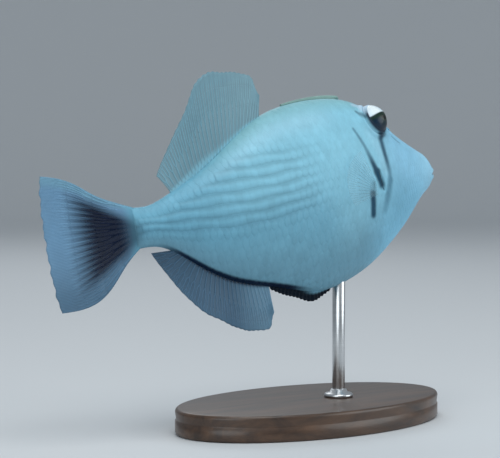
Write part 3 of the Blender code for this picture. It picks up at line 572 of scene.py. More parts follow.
def paint_orbit(paint, points, side):
    """The dark rim under and behind one eye, the wedge below it, and over it a painted highlight on the brow.
    """
    flat, far = from_eye(points, side)
    behind, up = -flat[:, 0] / np.maximum(far, TINY), flat[:, 2] / np.maximum(far, TINY)
    here = np.where(points[:, 1] < 0, -1.0, 1.0) == side
    # Painted highlight on the brow over the eye, where light from above falls
    brow_highlight = 0.95 * (1 - ease(far, *BROW_REACH)) * ease(up, *BROW_UP)
    rear = ease(behind, *RIM_BACK) * (1 - ease(up, *RIM_UP))
    rim = (1 - ease(far, *RIM_REACH)) * np.maximum(ease(-up, *RIM_DOWN), rear)
    wedge = (1 - ease(far, *WEDGE_REACH)) * ease(-up, *WEDGE_DOWN)
    return layered(paint, ("brow_highlight", brow_highlight * here), ("orbit", rim * here), ("orbit", wedge * here))


# Materials

def node(tree, kind, **settings):
    """A shader node with its settings, or its sockets' values, by name."""
    made = tree.nodes.new(kind)
    for key, value in settings.items():
        if key in made.inputs:
            made.inputs[key].default_value = value
        else:
            setattr(made, key, value)
    return made


def new_material(name, roughness, **sockets):
    """A new material, its node tree and its shader."""
    made = bpy.data.materials.new(name)
    made.use_nodes = True
    shader = made.node_tree.nodes["Principled BSDF"]
    shader.inputs["Roughness"].default_value = roughness
    for key, value in sockets.items():
        shader.inputs[key.replace("_", " ")].default_value = value
    return made, made.node_tree, shader


def add_bump(tree, shader, height, strength, distance):
    """Roughens a shader's surface by a height socket."""
    bump = node(tree, "ShaderNodeBump", Strength=strength, Distance=distance)
    tree.links.new(height, bump.inputs["Height"])
    tree.links.new(bump.outputs["Normal"], shader.inputs["Normal"])


def painted_material(name, roughness, grain_scale, grain_height, mottling, **sockets):
    """A material that shows the mesh's paint, broken up by fine noise, with a fine pebbled grain."""
    made, tree, shader = new_material(name, roughness, **sockets)
    paint = node(tree, "ShaderNodeVertexColor", layer_name="paint")
    where = node(tree, "ShaderNodeTexCoord")
    noise = node(tree, "ShaderNodeTexNoise", Scale=160.0, Detail=5.0, Roughness=0.6)
    tree.links.new(where.outputs["Object"], noise.inputs["Vector"])
    spread = node(tree, "ShaderNodeMapRange")
    spread.inputs["To Min"].default_value = 1 - mottling
    spread.inputs["To Max"].default_value = 1 + mottling
    tree.links.new(noise.outputs["Fac"], spread.inputs["Value"])
    product = node(tree, "ShaderNodeVectorMath", operation="SCALE")
    tree.links.new(paint.outputs["Color"], product.inputs[0])
    tree.links.new(spread.outputs["Result"], product.inputs["Scale"])
    tree.links.new(product.outputs["Vector"], shader.inputs["Base Color"])
    grain = node(tree, "ShaderNodeTexVoronoi", Scale=grain_scale)
    tree.links.new(where.outputs["Object"], grain.inputs["Vector"])
    add_bump(tree, shader, grain.outputs["Distance"], 0.6, grain_height)
    return made


def streaked_material(name, roughness, stretch, noise, dark, light, strength, distance, **sockets):
    """A material with streaks: noise stretched along one way, between two (place, colour) pairs."""
    made, tree, shader = new_material(name, roughness, **sockets)
    where = node(tree, "ShaderNodeTexCoord")
    stretched = node(tree, "ShaderNodeMapping")
    stretched.inputs["Scale"].default_value = stretch
    tree.links.new(where.outputs["Object"], stretched.inputs["Vector"])
    streaks = node(tree, "ShaderNodeTexNoise", **noise)
    tree.links.new(stretched.outputs["Vector"], streaks.inputs["Vector"])
    ramp = node(tree, "ShaderNodeValToRGB")
    for stop, (position, colour) in zip(ramp.color_ramp.elements, (dark, light)):
        stop.position = position
        stop.color = colour
    tree.links.new(streaks.outputs["Fac"], ramp.inputs["Fac"])
    tree.links.new(ramp.outputs["Color"], shader.inputs["Base Color"])
    add_bump(tree, shader, streaks.outputs["Fac"], strength, distance)
    return made


# Name, roughness, the grain's scale and height, the mottling and the shader's other sockets
SKIN = painted_material(
    "skin", 0.50, 1800.0, 0.00012, 0.16, Specular_IOR_Level=0.22, Coat_Weight=0.03, Coat_Roughness=0.30
)
SCALES = painted_material(
    "scales", 0.48, 1800.0, 0.00012, 0.16, Specular_IOR_Level=0.24, Coat_Weight=0.03, Coat_Roughness=0.30
)
FIN = painted_material("fin_membrane", 0.42, 900.0, 0.00008, 0.12, Alpha=0.80, Specular_IOR_Level=0.20)
CLEAR = (0.40, 900.0, 0.00006, 0.10)
CLEAR_FIN = painted_material("clear_fin_membrane", *CLEAR, Alpha=0.07, Specular_IOR_Level=0.10)
CLEAR_RAY = painted_material("clear_fin_ray", *CLEAR, Alpha=0.09, Specular_IOR_Level=0.10)
RAY = painted_material("fin_ray", 0.42, 1500.0, 0.00006, 0.12, Specular_IOR_Level=0.20)
SPINE = painted_material("spine", 0.50, 1400.0, 0.00020, 0.20)
FLAP = painted_material("flap", 0.50, 1300.0, 0.00015, 0.20, Specular_IOR_Level=0.10)
TOOTH = painted_material("tooth", 0.30, 600.0, 0.00002, 0.08)
EYE = painted_material(
    "eye", 0.30, 600.0, 0.00002, 0.06, Specular_IOR_Level=0.25, Coat_Weight=0.12, Coat_Roughness=0.08
)


# Skin: reliefs, and spreads at mouth and eye, in metres. Spreads at groove and slit in shares

LIP_RELIEF, LIP_MIDDLE, LIP_SPREAD, LIP_END = 0.0006, 0.0017, 0.0012, (0.006, 0.026)
MOUTH_DEPTH, MOUTH_SPREAD, MOUTH_END, MOUTH_PAINT_SPREAD = 0.0010, 0.00044, (0.008, 0.020), 0.0004
FOLD_DEPTH, FOLD_STATION, FOLD_SPREAD = 0.0005, (0.030, 0.006), 0.0048
RIM_RELIEF, RIM_MIDDLE, RIM_SPREAD = 0.0010, 0.0085, 0.0010
SOCKET_DEPTH, SOCKET_EDGE = 0.0024, (0.0050, 0.0073)
GROOVE_DEPTH, GROOVE_SPREAD, FURROW_SPREAD = 0.0007, 0.0045, 0.0035
SLIT_DEPTH, SLIT_SPREAD, SLIT_DARK_EDGE = 0.0008, 0.0028, (0.0012, 0.0030)
SLIT_FLAP_RELIEF, SLIT_FLAP = 0.0004, (0.0085, 0.004)
SNOUT_FIRST_TURN, HEAD_RINGS_END, SKIN_END = 0.03, 0.30, 1.004


def above_mouth(points):
    """Height over the mouth's line, which droops a little to its corners."""
    return points[..., 2] - MOUTH_LEVEL * LENGTH + MOUTH_ARCH * points[..., 1] ** 2


def tapered(along, end):
    """1 along the middle of a line, easing to 0 over a share of it at each end."""
    return ease(along, 0.0, end) * (1 - ease(along, 1 - end, 1.0))


def skin_relief(station, points):
    """How far the skin stands out of the plain body: lips, mouth line, orbits, groove and gill slit."""
    level = points[..., 2] / LENGTH
    rise = above_mouth(points)
    relief = LIP_RELIEF * hump(np.abs(rise), LIP_MIDDLE, LIP_SPREAD) * (1 - ease(station, *LIP_END))
    relief -= MOUTH_DEPTH * hump(rise, 0, MOUTH_SPREAD) * (1 - ease(station, *MOUTH_END))
    relief -= FOLD_DEPTH * hump(station, *FOLD_STATION) * hump(rise, 0, FOLD_SPREAD)
    for side in SIDES.values():
        _, far = from_eye(points, side)
        orbit = RIM_RELIEF * hump(far, RIM_MIDDLE, RIM_SPREAD) - SOCKET_DEPTH * (1 - ease(far, *SOCKET_EDGE))
        relief += np.where(points[..., 1] * side > 0, orbit, 0)
    groove, along = segment_distance(station, level, *GROOVE)
    relief -= GROOVE_DEPTH * hump(groove, 0, GROOVE_SPREAD) * tapered(along, 0.3)
    slit, along = segment_distance(station, level, *GILL_SLIT)
    relief -= SLIT_DEPTH * hump(slit, 0, SLIT_SPREAD) * (along > 0) * (along < 1)
    return relief + SLIT_FLAP_RELIEF * hump(slit, *SLIT_FLAP)


def skin_stations():
    """Stations of the skin's rings, close together on the snout."""
    turns = np.linspace(SNOUT_FIRST_TURN, math.pi / 2, SNOUT_RINGS)
    snout = SNOUT_TIP + SNOUT_ROUNDING * (1 - np.cos(turns))
    head = np.linspace(snout[-1], HEAD_RINGS_END, HEAD_RINGS)[1:]
    return np.concatenate([snout, head, np.linspace(HEAD_RINGS_END, SKIN_END, BODY_RINGS)[1:]])


def add_skin():
    """One closed skin from the lips to the tail's root, with painted shade in its creases."""
    stations = skin_stations()
    s, a = np.meshgrid(stations, circle(SKIN_RING), indexing="ij")
    plain = body_surface(s, a).reshape(-1, 3)
    normal = body_normal(s, a).reshape(-1, 3)
    s, level = s.ravel(), plain[:, 2] / LENGTH
    points = plain + normal * skin_relief(s, plain)[:, None]
    slit, _ = segment_distance(s, level, *GILL_SLIT)
    furrow, along = segment_distance(s, level, *GROOVE)
    mouth = hump(above_mouth(plain), 0, MOUTH_PAINT_SPREAD) * (1 - ease(s, *MOUTH_END))
    # Painted shade in the gill slit, in the groove before the eye and along the mouth line, in the orbit's
    # dark colour
    paint = layered(
        skin_paint(plain),
        ("orbit", 0.85 * (1 - ease(slit, *SLIT_DARK_EDGE))),
        ("orbit", 0.45 * hump(furrow, 0, FURROW_SPREAD) * tapered(along, 0.2)),
        ("orbit", 0.8 * mouth),
    )
    faces = capped_faces(len(stations), SKIN_RING)
    make_object("skin", place(points), faces, SKIN, paint, ("head", "trunk", "tail_stalk"))


# Scales: plates in rows and columns. Their heights and CLEAR_OF_EYE in metres

ROWS_ABOVE, ROWS_BELOW = 14, 24
COLUMN_SPACING, FIRST_COLUMN, LAST_COLUMN, LAST_PLATE = 0.0185, 0.030, 0.985, 0.992
HEAD_COLUMN_SPACING, HEAD_COLUMNS = 0.46, (0.02, 0.36)
STALK_COLUMN_CLOSING, STALK_COLUMNS = 0.25, (0.80, 1.0)
PLATE_SHARE, KEELED_SHARE, HEX_SLANT, KEELED_SLANT_LOSS = 0.955, 0.990, 0.28, 0.97
DOME_HEIGHT, RIM_SUNK, KEEL_HEIGHT, KEEL_SPREAD, ROUGHNESS = 0.00013, 0.00010, 0.00032, 0.55, 0.000008
HEAD_DOME, REAR_DOME_GAIN, REAR_DOMES = 0.50, 0.30, (0.36, 0.50)
DOME_VARIES, KEEL_VARIES, SHADE_VARIES = 0.15, 0.03, 0.020
ROW_WAVE, ROW_WAVES, ROW_WAVE_SHIFT = 0.0016, 50, 1.7
EVEN_BEYOND = 0.86
CLEAR_OF_EDGE, CLEAR_OF_EYE, CLEAR_OF_SLIT, CLEAR_OF_GROOVE, CLEAR_OF_MOUTH = 0.7, 0.0098, 0.007, 0.0055, 0.05
MOUTH_STATION = -0.01
GIRTH_STATIONS = np.linspace(0.0, 1.0, 251)
GIRTH_ANGLES = np.linspace(0, math.pi, 241)
BAKE_START, BAKE_ALONG, BAKE_ACROSS, BAKE_PATCH = 0.02, 0.46, 1.3, 0.0015


def girth_table():
    """Arc length up from level 0 along the flank, in shares, for stations by angles."""
    s, a = np.meshgrid(GIRTH_STATIONS, GIRTH_ANGLES, indexing="ij")
    points = body_surface(s, a)
    steps = np.linalg.norm(np.diff(points[..., 1:], axis=1), axis=-1) / LENGTH
    down = np.concatenate([np.zeros((len(GIRTH_STATIONS), 1)), np.cumsum(steps, axis=1)], axis=1)
    zero = [np.interp(0, -points[i, :, 2], down[i]) for i in range(len(GIRTH_STATIONS))]
    return np.array(zero)[:, None] - down


GIRTH = girth_table()


def in_table(share, count):
    """The line of a table at a share of its length, and the fraction of the way to the next line."""
    at = np.clip(share * (count - 1), 0, count - 1.001)
    line = at.astype(int)
    return line, at - line


def girth_angle(station, girth):
    """The angle on the flank at a station and an arc length above level 0."""
    line, share = in_table(station, len(GIRTH_STATIONS))
    found = np.zeros((2, len(station)))
    for k in (0, 1):
        for r in np.unique(line + k):
            pick = (line + k) == r
            found[k, pick] = np.interp(-girth[pick], -GIRTH[r], GIRTH_ANGLES)
    return found[0] * (1 - share) + found[1] * share


def girth_at(station, level):
    """Arc length above level 0 along the flank, in shares, at a station and a level on it."""
    i, p = in_table(station, len(GIRTH_STATIONS))
    j, q = in_table(flank_angle(station, level) / math.pi, len(GIRTH_ANGLES))
    near = GIRTH[i, j] * (1 - q) + GIRTH[i, j + 1] * q
    far = GIRTH[i + 1, j] * (1 - q) + GIRTH[i + 1, j + 1] * q
    return near * (1 - p) + far * p


def girth_ends(station):
    """Arc lengths at the belly and the back."""
    return [np.interp(station, GIRTH_STATIONS, GIRTH[:, k]) for k in (-1, 0)]


def row_girth(row, station):
    """Where a row runs, as an arc length: by its level on the flank, evenly spaced towards the edges."""
    level = row_level(row, station) + ROW_WAVE * np.sin(ROW_WAVES * station + ROW_WAVE_SHIFT * row)
    inside = np.clip(level, EVEN_BEYOND * belly_line(station), EVEN_BEYOND * back_line(station))
    return girth_at(station, inside) + level - inside


def column_stations():
    """Stations of the columns of plates, closer together on the head and the tail stalk."""
    stations, at = [], FIRST_COLUMN
    while at < LAST_COLUMN:
        stations.append(at)
        on_head = HEAD_COLUMN_SPACING + (1 - HEAD_COLUMN_SPACING) * ease(at, *HEAD_COLUMNS)
        at += COLUMN_SPACING * on_head * (1 - STALK_COLUMN_CLOSING * ease(at, *STALK_COLUMNS))
    return np.array(stations)


def plate_places(side):
    """Station, row, pitch, girth and level of every plate of one flank, clear of the head's openings."""
    columns = column_stations()
    rows = np.arange(-ROWS_ABOVE, ROWS_BELOW)
    row, column = [grid.ravel() for grid in np.meshgrid(rows, np.arange(len(columns)), indexing="ij")]
    width = np.gradient(columns)[column]
    station = columns[column] + 0.5 * (row % 2) * width
    girth = row_girth(row.astype(float), station)
    margin = CLEAR_OF_EDGE * KEEL_SPACING / 2 * row_closing(station)
    bottom, top = girth_ends(station)
    keep = (girth < top - margin) & (girth > bottom + margin) & (station < LAST_PLATE)
    middle = body_surface(station, girth_angle(station, girth) * side)
    level = middle[:, 2] / LENGTH
    _, far = from_eye(middle, side)
    slit, _ = segment_distance(station, level, *GILL_SLIT)
    groove, _ = segment_distance(station, level, *GROOVE)
    keep &= (far > CLEAR_OF_EYE) & (slit > CLEAR_OF_SLIT) & (groove > CLEAR_OF_GROOVE)
    keep &= np.hypot(station - MOUTH_STATION, level - MOUTH_LEVEL) > CLEAR_OF_MOUTH
    return station[keep], row[keep], width[keep], girth[keep], level[keep]


def add_scales(hand, side):
    """The mosaic of scale plates on one flank, whose keels run on from plate to plate on the rear."""
    station, row, width, girth, level = plate_places(side)
    count = len(station)
    a, b = np.meshgrid(np.linspace(-1, 1, PLATE_ALONG), np.linspace(-1, 1, PLATE_ACROSS), indexing="ij")
    a, b = a.ravel(), b.ravel()
    keel = keel_strength(station, level)[:, None]
    long = PLATE_SHARE + (KEELED_SHARE - PLATE_SHARE) * keel
    tall = PLATE_SHARE * (1 + 2 * HEX_SLANT * (1 - KEELED_SLANT_LOSS * keel) * (1 - 2 * np.abs(a)))
    s = station[:, None] + a * width[:, None] / 2 * long
    bottom, top = girth_ends(s)
    g = np.clip(row_girth(row[:, None] - b * tall / 2, s), bottom + 1e-4, top - 1e-4)
    angle = girth_angle(s.ravel(), g.ravel()) * side
    plain, normal = body_surface(s.ravel(), angle), body_normal(s.ravel(), angle)
    side_rim, end_rim = np.abs(b) > 0.99, np.abs(a) > 0.99
    sunk = np.where(side_rim, 1.0, np.where(end_rim, 1 - 0.9 * keel, 0.0))
    dome = DOME_HEIGHT * (1 - 0.5 * b * b) * (1 - 0.25 * a * a * (1 - keel))
    dome = dome * np.sqrt(width / COLUMN_SPACING)[:, None]
    dome = dome * (HEAD_DOME + REAR_DOME_GAIN * ease(station, *REAR_DOMES)[:, None])
    dome = dome * (1 + DOME_VARIES * rng.normal(size=(count, 1)))
    crest = KEEL_HEIGHT * hump(b, 0, KEEL_SPREAD) * (1 - 0.06 * a * a)
    crest = crest * (1 + KEEL_VARIES * rng.normal(size=(count, 1)))
    height = dome * (1 - sunk) - RIM_SUNK * sunk + keel * crest * (1 - 0.9 * side_rim)
    height = height + rng.normal(0, ROUGHNESS, (count, len(a)))
    points = plain + normal * (height.ravel() + skin_relief(s.ravel(), plain))[:, None]
    groove = np.broadcast_to(wave(b / 2), s.shape) ** GROOVE_NARROWNESS
    shade = -(1 - 0.7 * keel) * (0.06 * np.abs(b) ** 4 + 0.04 * np.abs(a) ** 5)
    paint = lit(skin_paint(plain, groove.ravel()), shade.ravel())
    paint = lit(paint, np.repeat(SHADE_VARIES * rng.normal(size=count), len(a)))
    quads = grid_faces(PLATE_ALONG, PLATE_ACROSS)
    if side > 0:
        quads = quads[:, ::-1]
    faces = (quads[None] + (np.arange(count) * len(a))[:, None, None]).reshape(-1, 4)
    chart = np.stack([BAKE_START + BAKE_ALONG * station + (side > 0) / 2, 0.5 + girth * BAKE_ACROSS], 1)
    bake = (chart[:, None] + BAKE_PATCH * np.stack([a, b], 1)).reshape(-1, 2)
    make_object(
        "scales_" + hand, place(points), faces, SCALES, paint, bake=bake, closed=False
    )


# Fins: thicknesses and radii in metres, other sizes as shares of the length or of the fin

ACROSS = np.array([0.0, 1.0, 0.0])
JOINTS_ALONG = 190
RIBBON = {"edge": 0.00024, "root": 0.0010, "root_sunk": 0.004, "frayed": 0.012, "ragged": (0.006, 37)}
RIBBON_RAYS = {"radii": (0.00072, 0.00030), "splits": (0.45, 0.80)}
RIBBON_FRONT, RIBBON_BASE, SHEATH_RISE, SHEATH_START = (0.05, 0.50), (0.03, 0.11), 0.08, (0.45, 0.75)
CAUDAL_ROOT, CAUDAL_ROOT_THICKNESS, CAUDAL_EDGE_THICKNESS = 0.994, 0.0062, 0.00030
CAUDAL_FRAYED, CAUDAL_RAGGED = 0.010, (0.005, 41)
CAUDAL_RAY_FORM = {"radii": (0.00095, 0.00046), "splits": (0.22, 0.46, 0.72), "flat": 0.6}
STREAKS = [(0.009, 420, 0), (0.005, 1150, 1)]
LOWER_HALF_DARK, STALK_COLOUR_END = (0.0, 0.16), (0.0, 0.035)
MARGIN, LOWER_MARGIN = (0.80, 0.96), (0.55, 0.95)
PECTORAL_RAY_FORM = {"radii": (0.00034, 0.00014), "splits": (0.60,), "jointed": 0}
PECTORAL_AHEAD, PECTORAL_ROUNDNESS, PECTORAL_OUT, PECTORAL_RIPPLE = 0.002, 0.20, 0.0006, (0.0003, 9)
PECTORAL_EDGE_THICKNESS, PECTORAL_ROOT_THICKNESS = 0.00020, 0.0006
SPINE_TAPER, SPINE_GROOVES, SPINE_GROOVED_PART, OVER_BACK = 0.66, (0.10, 120), 0.75, 0.0003
WEB_THICKNESS, WEB_EDGE, WEB_TAPER, WEB_FOLDS = 0.0012, 0.0003, 0.75, (0.05, 90)
FLAP_RIBS, FLAP_SCALLOP, FLAP_ROOT, FLAP_LEAST, FLAP_LEAN = 17, 0.0012, 0.008, 0.003, 0.006
FLAP_ROOT_THICKNESS, FLAP_EDGE_LOSS, FLAP_SWELL, FLAP_RIB = 0.0021, 0.0013, 0.0016, 0.00045
KNOB_HEIGHT, KNOB_SPREAD = 0.0016, 0.06


def sheet(middle, thickness, count, mesh, across=ACROSS):
    """A closed thin sheet from the point and thickness at each (u, v), with a count of rays or ribs."""
    columns, rows = count * mesh[0], mesh[1]
    u, v = np.meshgrid(np.linspace(0, 1, columns), np.linspace(0, 1, rows), indexing="ij")
    u, v = u.ravel(), v.ravel()
    centre = middle(u, v)
    half = (thickness(u, v) / 2)[:, None] * across
    near, back = grid_faces(columns, rows), len(u)
    faces = near.tolist() + (near[:, ::-1] + back).tolist()
    rim = [(i, 0) for i in range(columns)] + [(columns - 1, j) for j in range(1, rows)]
    rim += [(i, rows - 1) for i in range(columns - 2, -1, -1)] + [(0, j) for j in range(rows - 2, 0, -1)]
    ids = [i * rows + j for i, j in rim]
    for p, q in zip(ids, ids[1:] + ids[:1]):
        faces.append([p, q, q + back, p + back])
    return np.vstack([centre + half, centre - half]), faces, np.concatenate([u, u]), np.concatenate([v, v])


def ray_paths(u, spread, start, splits):
    """The centre lines of one branching ray as lists of (u, v) points."""
    if not splits:
        v = np.linspace(start, 1, 12)
        return [np.stack([np.full_like(v, u), v], 1)]
    v = np.linspace(start, splits[0], 8)
    paths = [np.stack([np.full_like(v, u), v], 1)]
    for sign in (-1, 1):
        for path in ray_paths(u + sign * spread / 4, spread / 2, splits[0], splits[1:]):
            if path[0, 1] == splits[0]:
                lean = ease(path[:, 1], splits[0] - 0.001, min(splits[0] + 0.14, 1))
                path[:, 0] = u + (path[:, 0] - u) * lean
            paths.append(path)
    return paths


def fin_rays(middle, count, radii, splits, flat=0.8, jointed=0.07, across=ACROSS):
    """All the rays of a fin as tapered, jointed, branching rods, and how far out each point is."""
    pieces, outward = [], []
    for i in range(count):
        for path in ray_paths((i + 0.5) / count, 1 / count, 0.0, splits):
            v = np.linspace(path[0, 1], path[-1, 1], max(int(60 * (path[-1, 1] - path[0, 1])), 8))
            line = middle(np.clip(np.interp(v, path[:, 1], path[:, 0]), 0, 1), v)
            branchings = sum(path[0, 1] >= split - 1e-6 for split in splits)
            radius = (radii[0] + (radii[1] - radii[0]) * v**0.8) * 0.80**branchings
            joints = 1 + jointed * np.sin(v * JOINTS_ALONG)
            pieces.append(tube(line, radius * joints, RAY_SIDES, flat, across))
            outward.append(np.repeat(v, RAY_SIDES))
    points, faces = joined(pieces)
    return points, faces, np.concatenate(outward)


def rounded_edge(corners):
    """A line through corners with its bends rounded off, as places by the share of its length."""
    corners = [np.array(corner, float) for corner in corners]
    line = [corners[0]]
    for before, corner, after in zip(corners, corners[1:], corners[2:]):
        start = corner + (before - corner) * CORNER_ROUNDING
        end = corner + (after - corner) * CORNER_ROUNDING
        for t in np.linspace(0, 1, CORNER_STEPS + 1):
            line.append((1 - t) ** 2 * start + 2 * t * (1 - t) * corner + t * t * end)
    line = np.array(line + [corners[-1]])
    reach = np.concatenate([[0], np.cumsum(np.linalg.norm(np.diff(line, axis=0), axis=1))])
    return lambda share: [np.interp(share * reach[-1], reach, line[:, k]) for k in (0, 1)]


def add_ribbon_fin(name, sizes, crest, up, colours, base_amount):
    """The second dorsal or the anal fin: a waved membrane with its rays, frayed between them."""
    membrane_colour, front_colour, ray_colour, base_colour = colours
    base, rays = sizes["base"], sizes["rays"]
    edge = rounded_edge(sizes["corners"])
    depth, bends = RIBBON["ragged"]

    def middle(u, v):
        station = base[0] + (base[1] - base[0]) * u
        whole = 1 - RIBBON["frayed"] * v * (1 - wave(rays * u)) - depth * v * np.sin(bends * u)
        root_level = crest(station) - up * RIBBON["root_sunk"]
        tip_station, tip_level = edge(u**RAYS_CLOSER_AT_FRONT)
        x = -station + (station - tip_station) * v * whole
        z = root_level + (tip_level - root_level) * v * whole
        bow = FIN_WAVE_REACH * v**1.5 * np.sin(2 * math.pi * FIN_WAVES * u)
        return np.stack([x * LENGTH, bow, z * LENGTH], -1)

    def thickness(u, v):
        return RIBBON["edge"] + RIBBON["root"] * (1 - v) ** 4

    points, faces, u, v = sheet(middle, thickness, rays, RIBBON_MESH)
    sheath = SHEATH_RISE * ease(u, *SHEATH_START) * (up > 0)
    paint = layered(
        coat(points, membrane_colour),
        (None, 0.04 - 0.16 * (1 - v) ** 3 + 0.08 * v - 0.10 * u * v),
        (front_colour, 1 - ease(u, *RIBBON_FRONT)),
        (None, -0.10 * wave(rays * u)),
        (base_colour, base_amount * (1 - ease(v - sheath, *RIBBON_BASE))),
    )
    make_object(name, place(points), faces, FIN, paint, (name,))
    points, faces, v = fin_rays(middle, rays, **RIBBON_RAYS)
    along = (-points[:, 0] / LENGTH - base[0]) / (base[1] - base[0])
    paint = layered(
        coat(points, ray_colour),
        (None, -0.08 + 0.22 * v),
        (front_colour, 0.8 * (1 - ease(along, *RIBBON_FRONT))),
        (base_colour, base_amount * (1 - ease(v, *RIBBON_BASE))),
    )
    make_object(name + "_rays", place(points), faces, RAY, paint)


def caudal_middle(u, v):
    """The tail fin's middle surface: u from the lower to the upper margin, v from root to edge."""
    side = 2 * u - 1
    reach = np.where(side > 0, spline(CAUDAL_UPPER_REACH)(v), spline(CAUDAL_LOWER_REACH)(v))
    depth, bends = CAUDAL_RAGGED
    whole = 1 - CAUDAL_FRAYED * (1 - wave(CAUDAL_RAYS * u)) - depth * np.sin(bends * u)
    length = CAUDAL_LENGTH * (1 - CAUDAL_EDGE_ROUNDING * np.abs(side) ** 2.5) * whole
    x = -(CAUDAL_ROOT + (length + 1 - CAUDAL_ROOT) * v)
    return np.stack([x, 0 * x, side * reach], -1) * LENGTH


def caudal_paint(points):
    """A dark blotch that widens from the tail's root, feathered along the rays, between pale margins."""
    back, level = -points[:, 0] / LENGTH - 1, points[:, 2] / LENGTH
    share = np.clip(back / CAUDAL_LENGTH, 0, 1)
    reach = np.where(level > 0, spline(CAUDAL_UPPER_REACH)(share), spline(CAUDAL_LOWER_REACH)(share))
    side = np.abs(level) / reach
    streak = sum(size * np.sin(level * bends / (0.4 + share) + shift) for size, bends, shift in STREAKS)
    return layered(
        coat(points, "caudal"),
        (None, 0.06 - 0.34 * ease(-level, *LOWER_HALF_DARK)),
        ("caudal_margin", ease(side, *MARGIN) * (level > 0)),
        ("anal", 0.35 * ease(side, *LOWER_MARGIN) * (level < 0)),
        ("rear", 1 - ease(back, *STALK_COLOUR_END)),
        ("blotch", blotch_share(back, level, streak)),
    )


def add_caudal_fin():
    """The tail fin: a membrane that is thick at its root, and its rays."""

    def thickness(u, v):
        swell = (1 - v) ** 6 * np.sqrt(np.maximum(1 - (2 * u - 1) ** 2, 0))
        return CAUDAL_EDGE_THICKNESS + CAUDAL_ROOT_THICKNESS * swell

    points, faces, _, _ = sheet(caudal_middle, thickness, CAUDAL_RAYS, CAUDAL_MESH)
    make_object("caudal_fin", place(points), faces, FIN, caudal_paint(points), ("caudal_fin",))
    points, faces, _ = fin_rays(caudal_middle, CAUDAL_RAYS, **CAUDAL_RAY_FORM)
    make_object("caudal_fin_rays", place(points), faces, RAY, caudal_paint(points) * 1.02)


def add_pectoral_fin(hand, side):
    """A small clear fan behind the gill slit, lying back along the flank."""
    length, root_half = PECTORAL_LENGTH / LENGTH, PECTORAL_ROOT_HALF / LENGTH
    outward = side * ACROSS
    ripple, bends = PECTORAL_RIPPLE

    def middle(u, v):
        angle = np.radians(PECTORAL_LOWER_DEG + (PECTORAL_UPPER_DEG - PECTORAL_LOWER_DEG) * u)
        reach = length * (1 - PECTORAL_ROUNDNESS * (1 - np.sin(math.pi * u**0.8))) * v
        station = PECTORAL_STATION - PECTORAL_AHEAD + reach * np.cos(angle)
        level = PECTORAL_LEVEL + (2 * u - 1) * root_half + reach * np.sin(angle)
        out = PECTORAL_OUT + PECTORAL_LIFT * reach * LENGTH + ripple * np.sin(bends * u) * v
        points, _ = on_flank(station, level, side)
        points[..., 1] += side * out
        return points

    def thickness(u, v):
        return PECTORAL_EDGE_THICKNESS + PECTORAL_ROOT_THICKNESS * (1 - v) ** 4

    name = "pectoral_fin_" + hand
    points, faces, _, _ = sheet(middle, thickness, PECTORAL_RAYS, PECTORAL_MESH, outward)
    make_object(name, place(points), faces, CLEAR_FIN, coat(points, "pectoral"), (name,))
    points, faces, v = fin_rays(middle, PECTORAL_RAYS, across=outward, **PECTORAL_RAY_FORM)
    paint = lit(coat(points, "flank"), 0.1 + 0.1 * v)
    make_object(name + "_rays", place(points), faces, CLEAR_RAY, paint)


def on_back(station, lift, sway=0.0):
    """A line of points a little over the middle of the back."""
    return np.stack([-station * LENGTH, sway + 0 * station, back_line(station) * LENGTH + lift], 1)


def add_first_dorsal_fin():
    """Three rough spines folded back along the top, with their skin between them."""
    pieces = []
    (groove, grooves), (fold, folds) = SPINE_GROOVES, WEB_FOLDS
    for start, length, radius in DORSAL_SPINES:
        share = np.linspace(0, 1, 44)
        size = radius * (1 - SPINE_TAPER * share) * np.clip(0.35 + share * 14, 0, 1)
        size = size * (1 + groove * np.sin(share * grooves) * (share < SPINE_GROOVED_PART))
        lift = radius * (0.75 - 0.25 * share) + OVER_BACK
        line = on_back(start + length * share, lift, 0.0002 * np.sin(share * 5))
        pieces.append(tube(line, size, SPINE_SIDES, 0.92, ACROSS))
    start, end = DORSAL_SPINES[0][0] + 0.002, sum(DORSAL_SPINES[-1][:2]) + 0.012
    share = np.linspace(0, 1, 60)
    shape = np.sin(math.pi * np.minimum(share / 0.3, 1) / 2) * (1 - WEB_TAPER * share)
    size = (WEB_THICKNESS * shape + WEB_EDGE) * (1 + fold * np.sin(share * folds))
    pieces.append(tube(on_back(start + (end - start) * share, OVER_BACK), size, SPINE_SIDES, 1.1))
    points, faces = joined(pieces)
    height = points[:, 2] / LENGTH - back_line(-points[:, 0] / LENGTH)
    # Painted shade low against the back, and painted light towards the spines' tops
    paint = lit(coat(points, "spine"), -0.20 + 22 * np.clip(height, 0, 0.012))
    make_object("first_dorsal_fin", place(points), faces, SPINE, paint, ("first_dorsal_fin",))


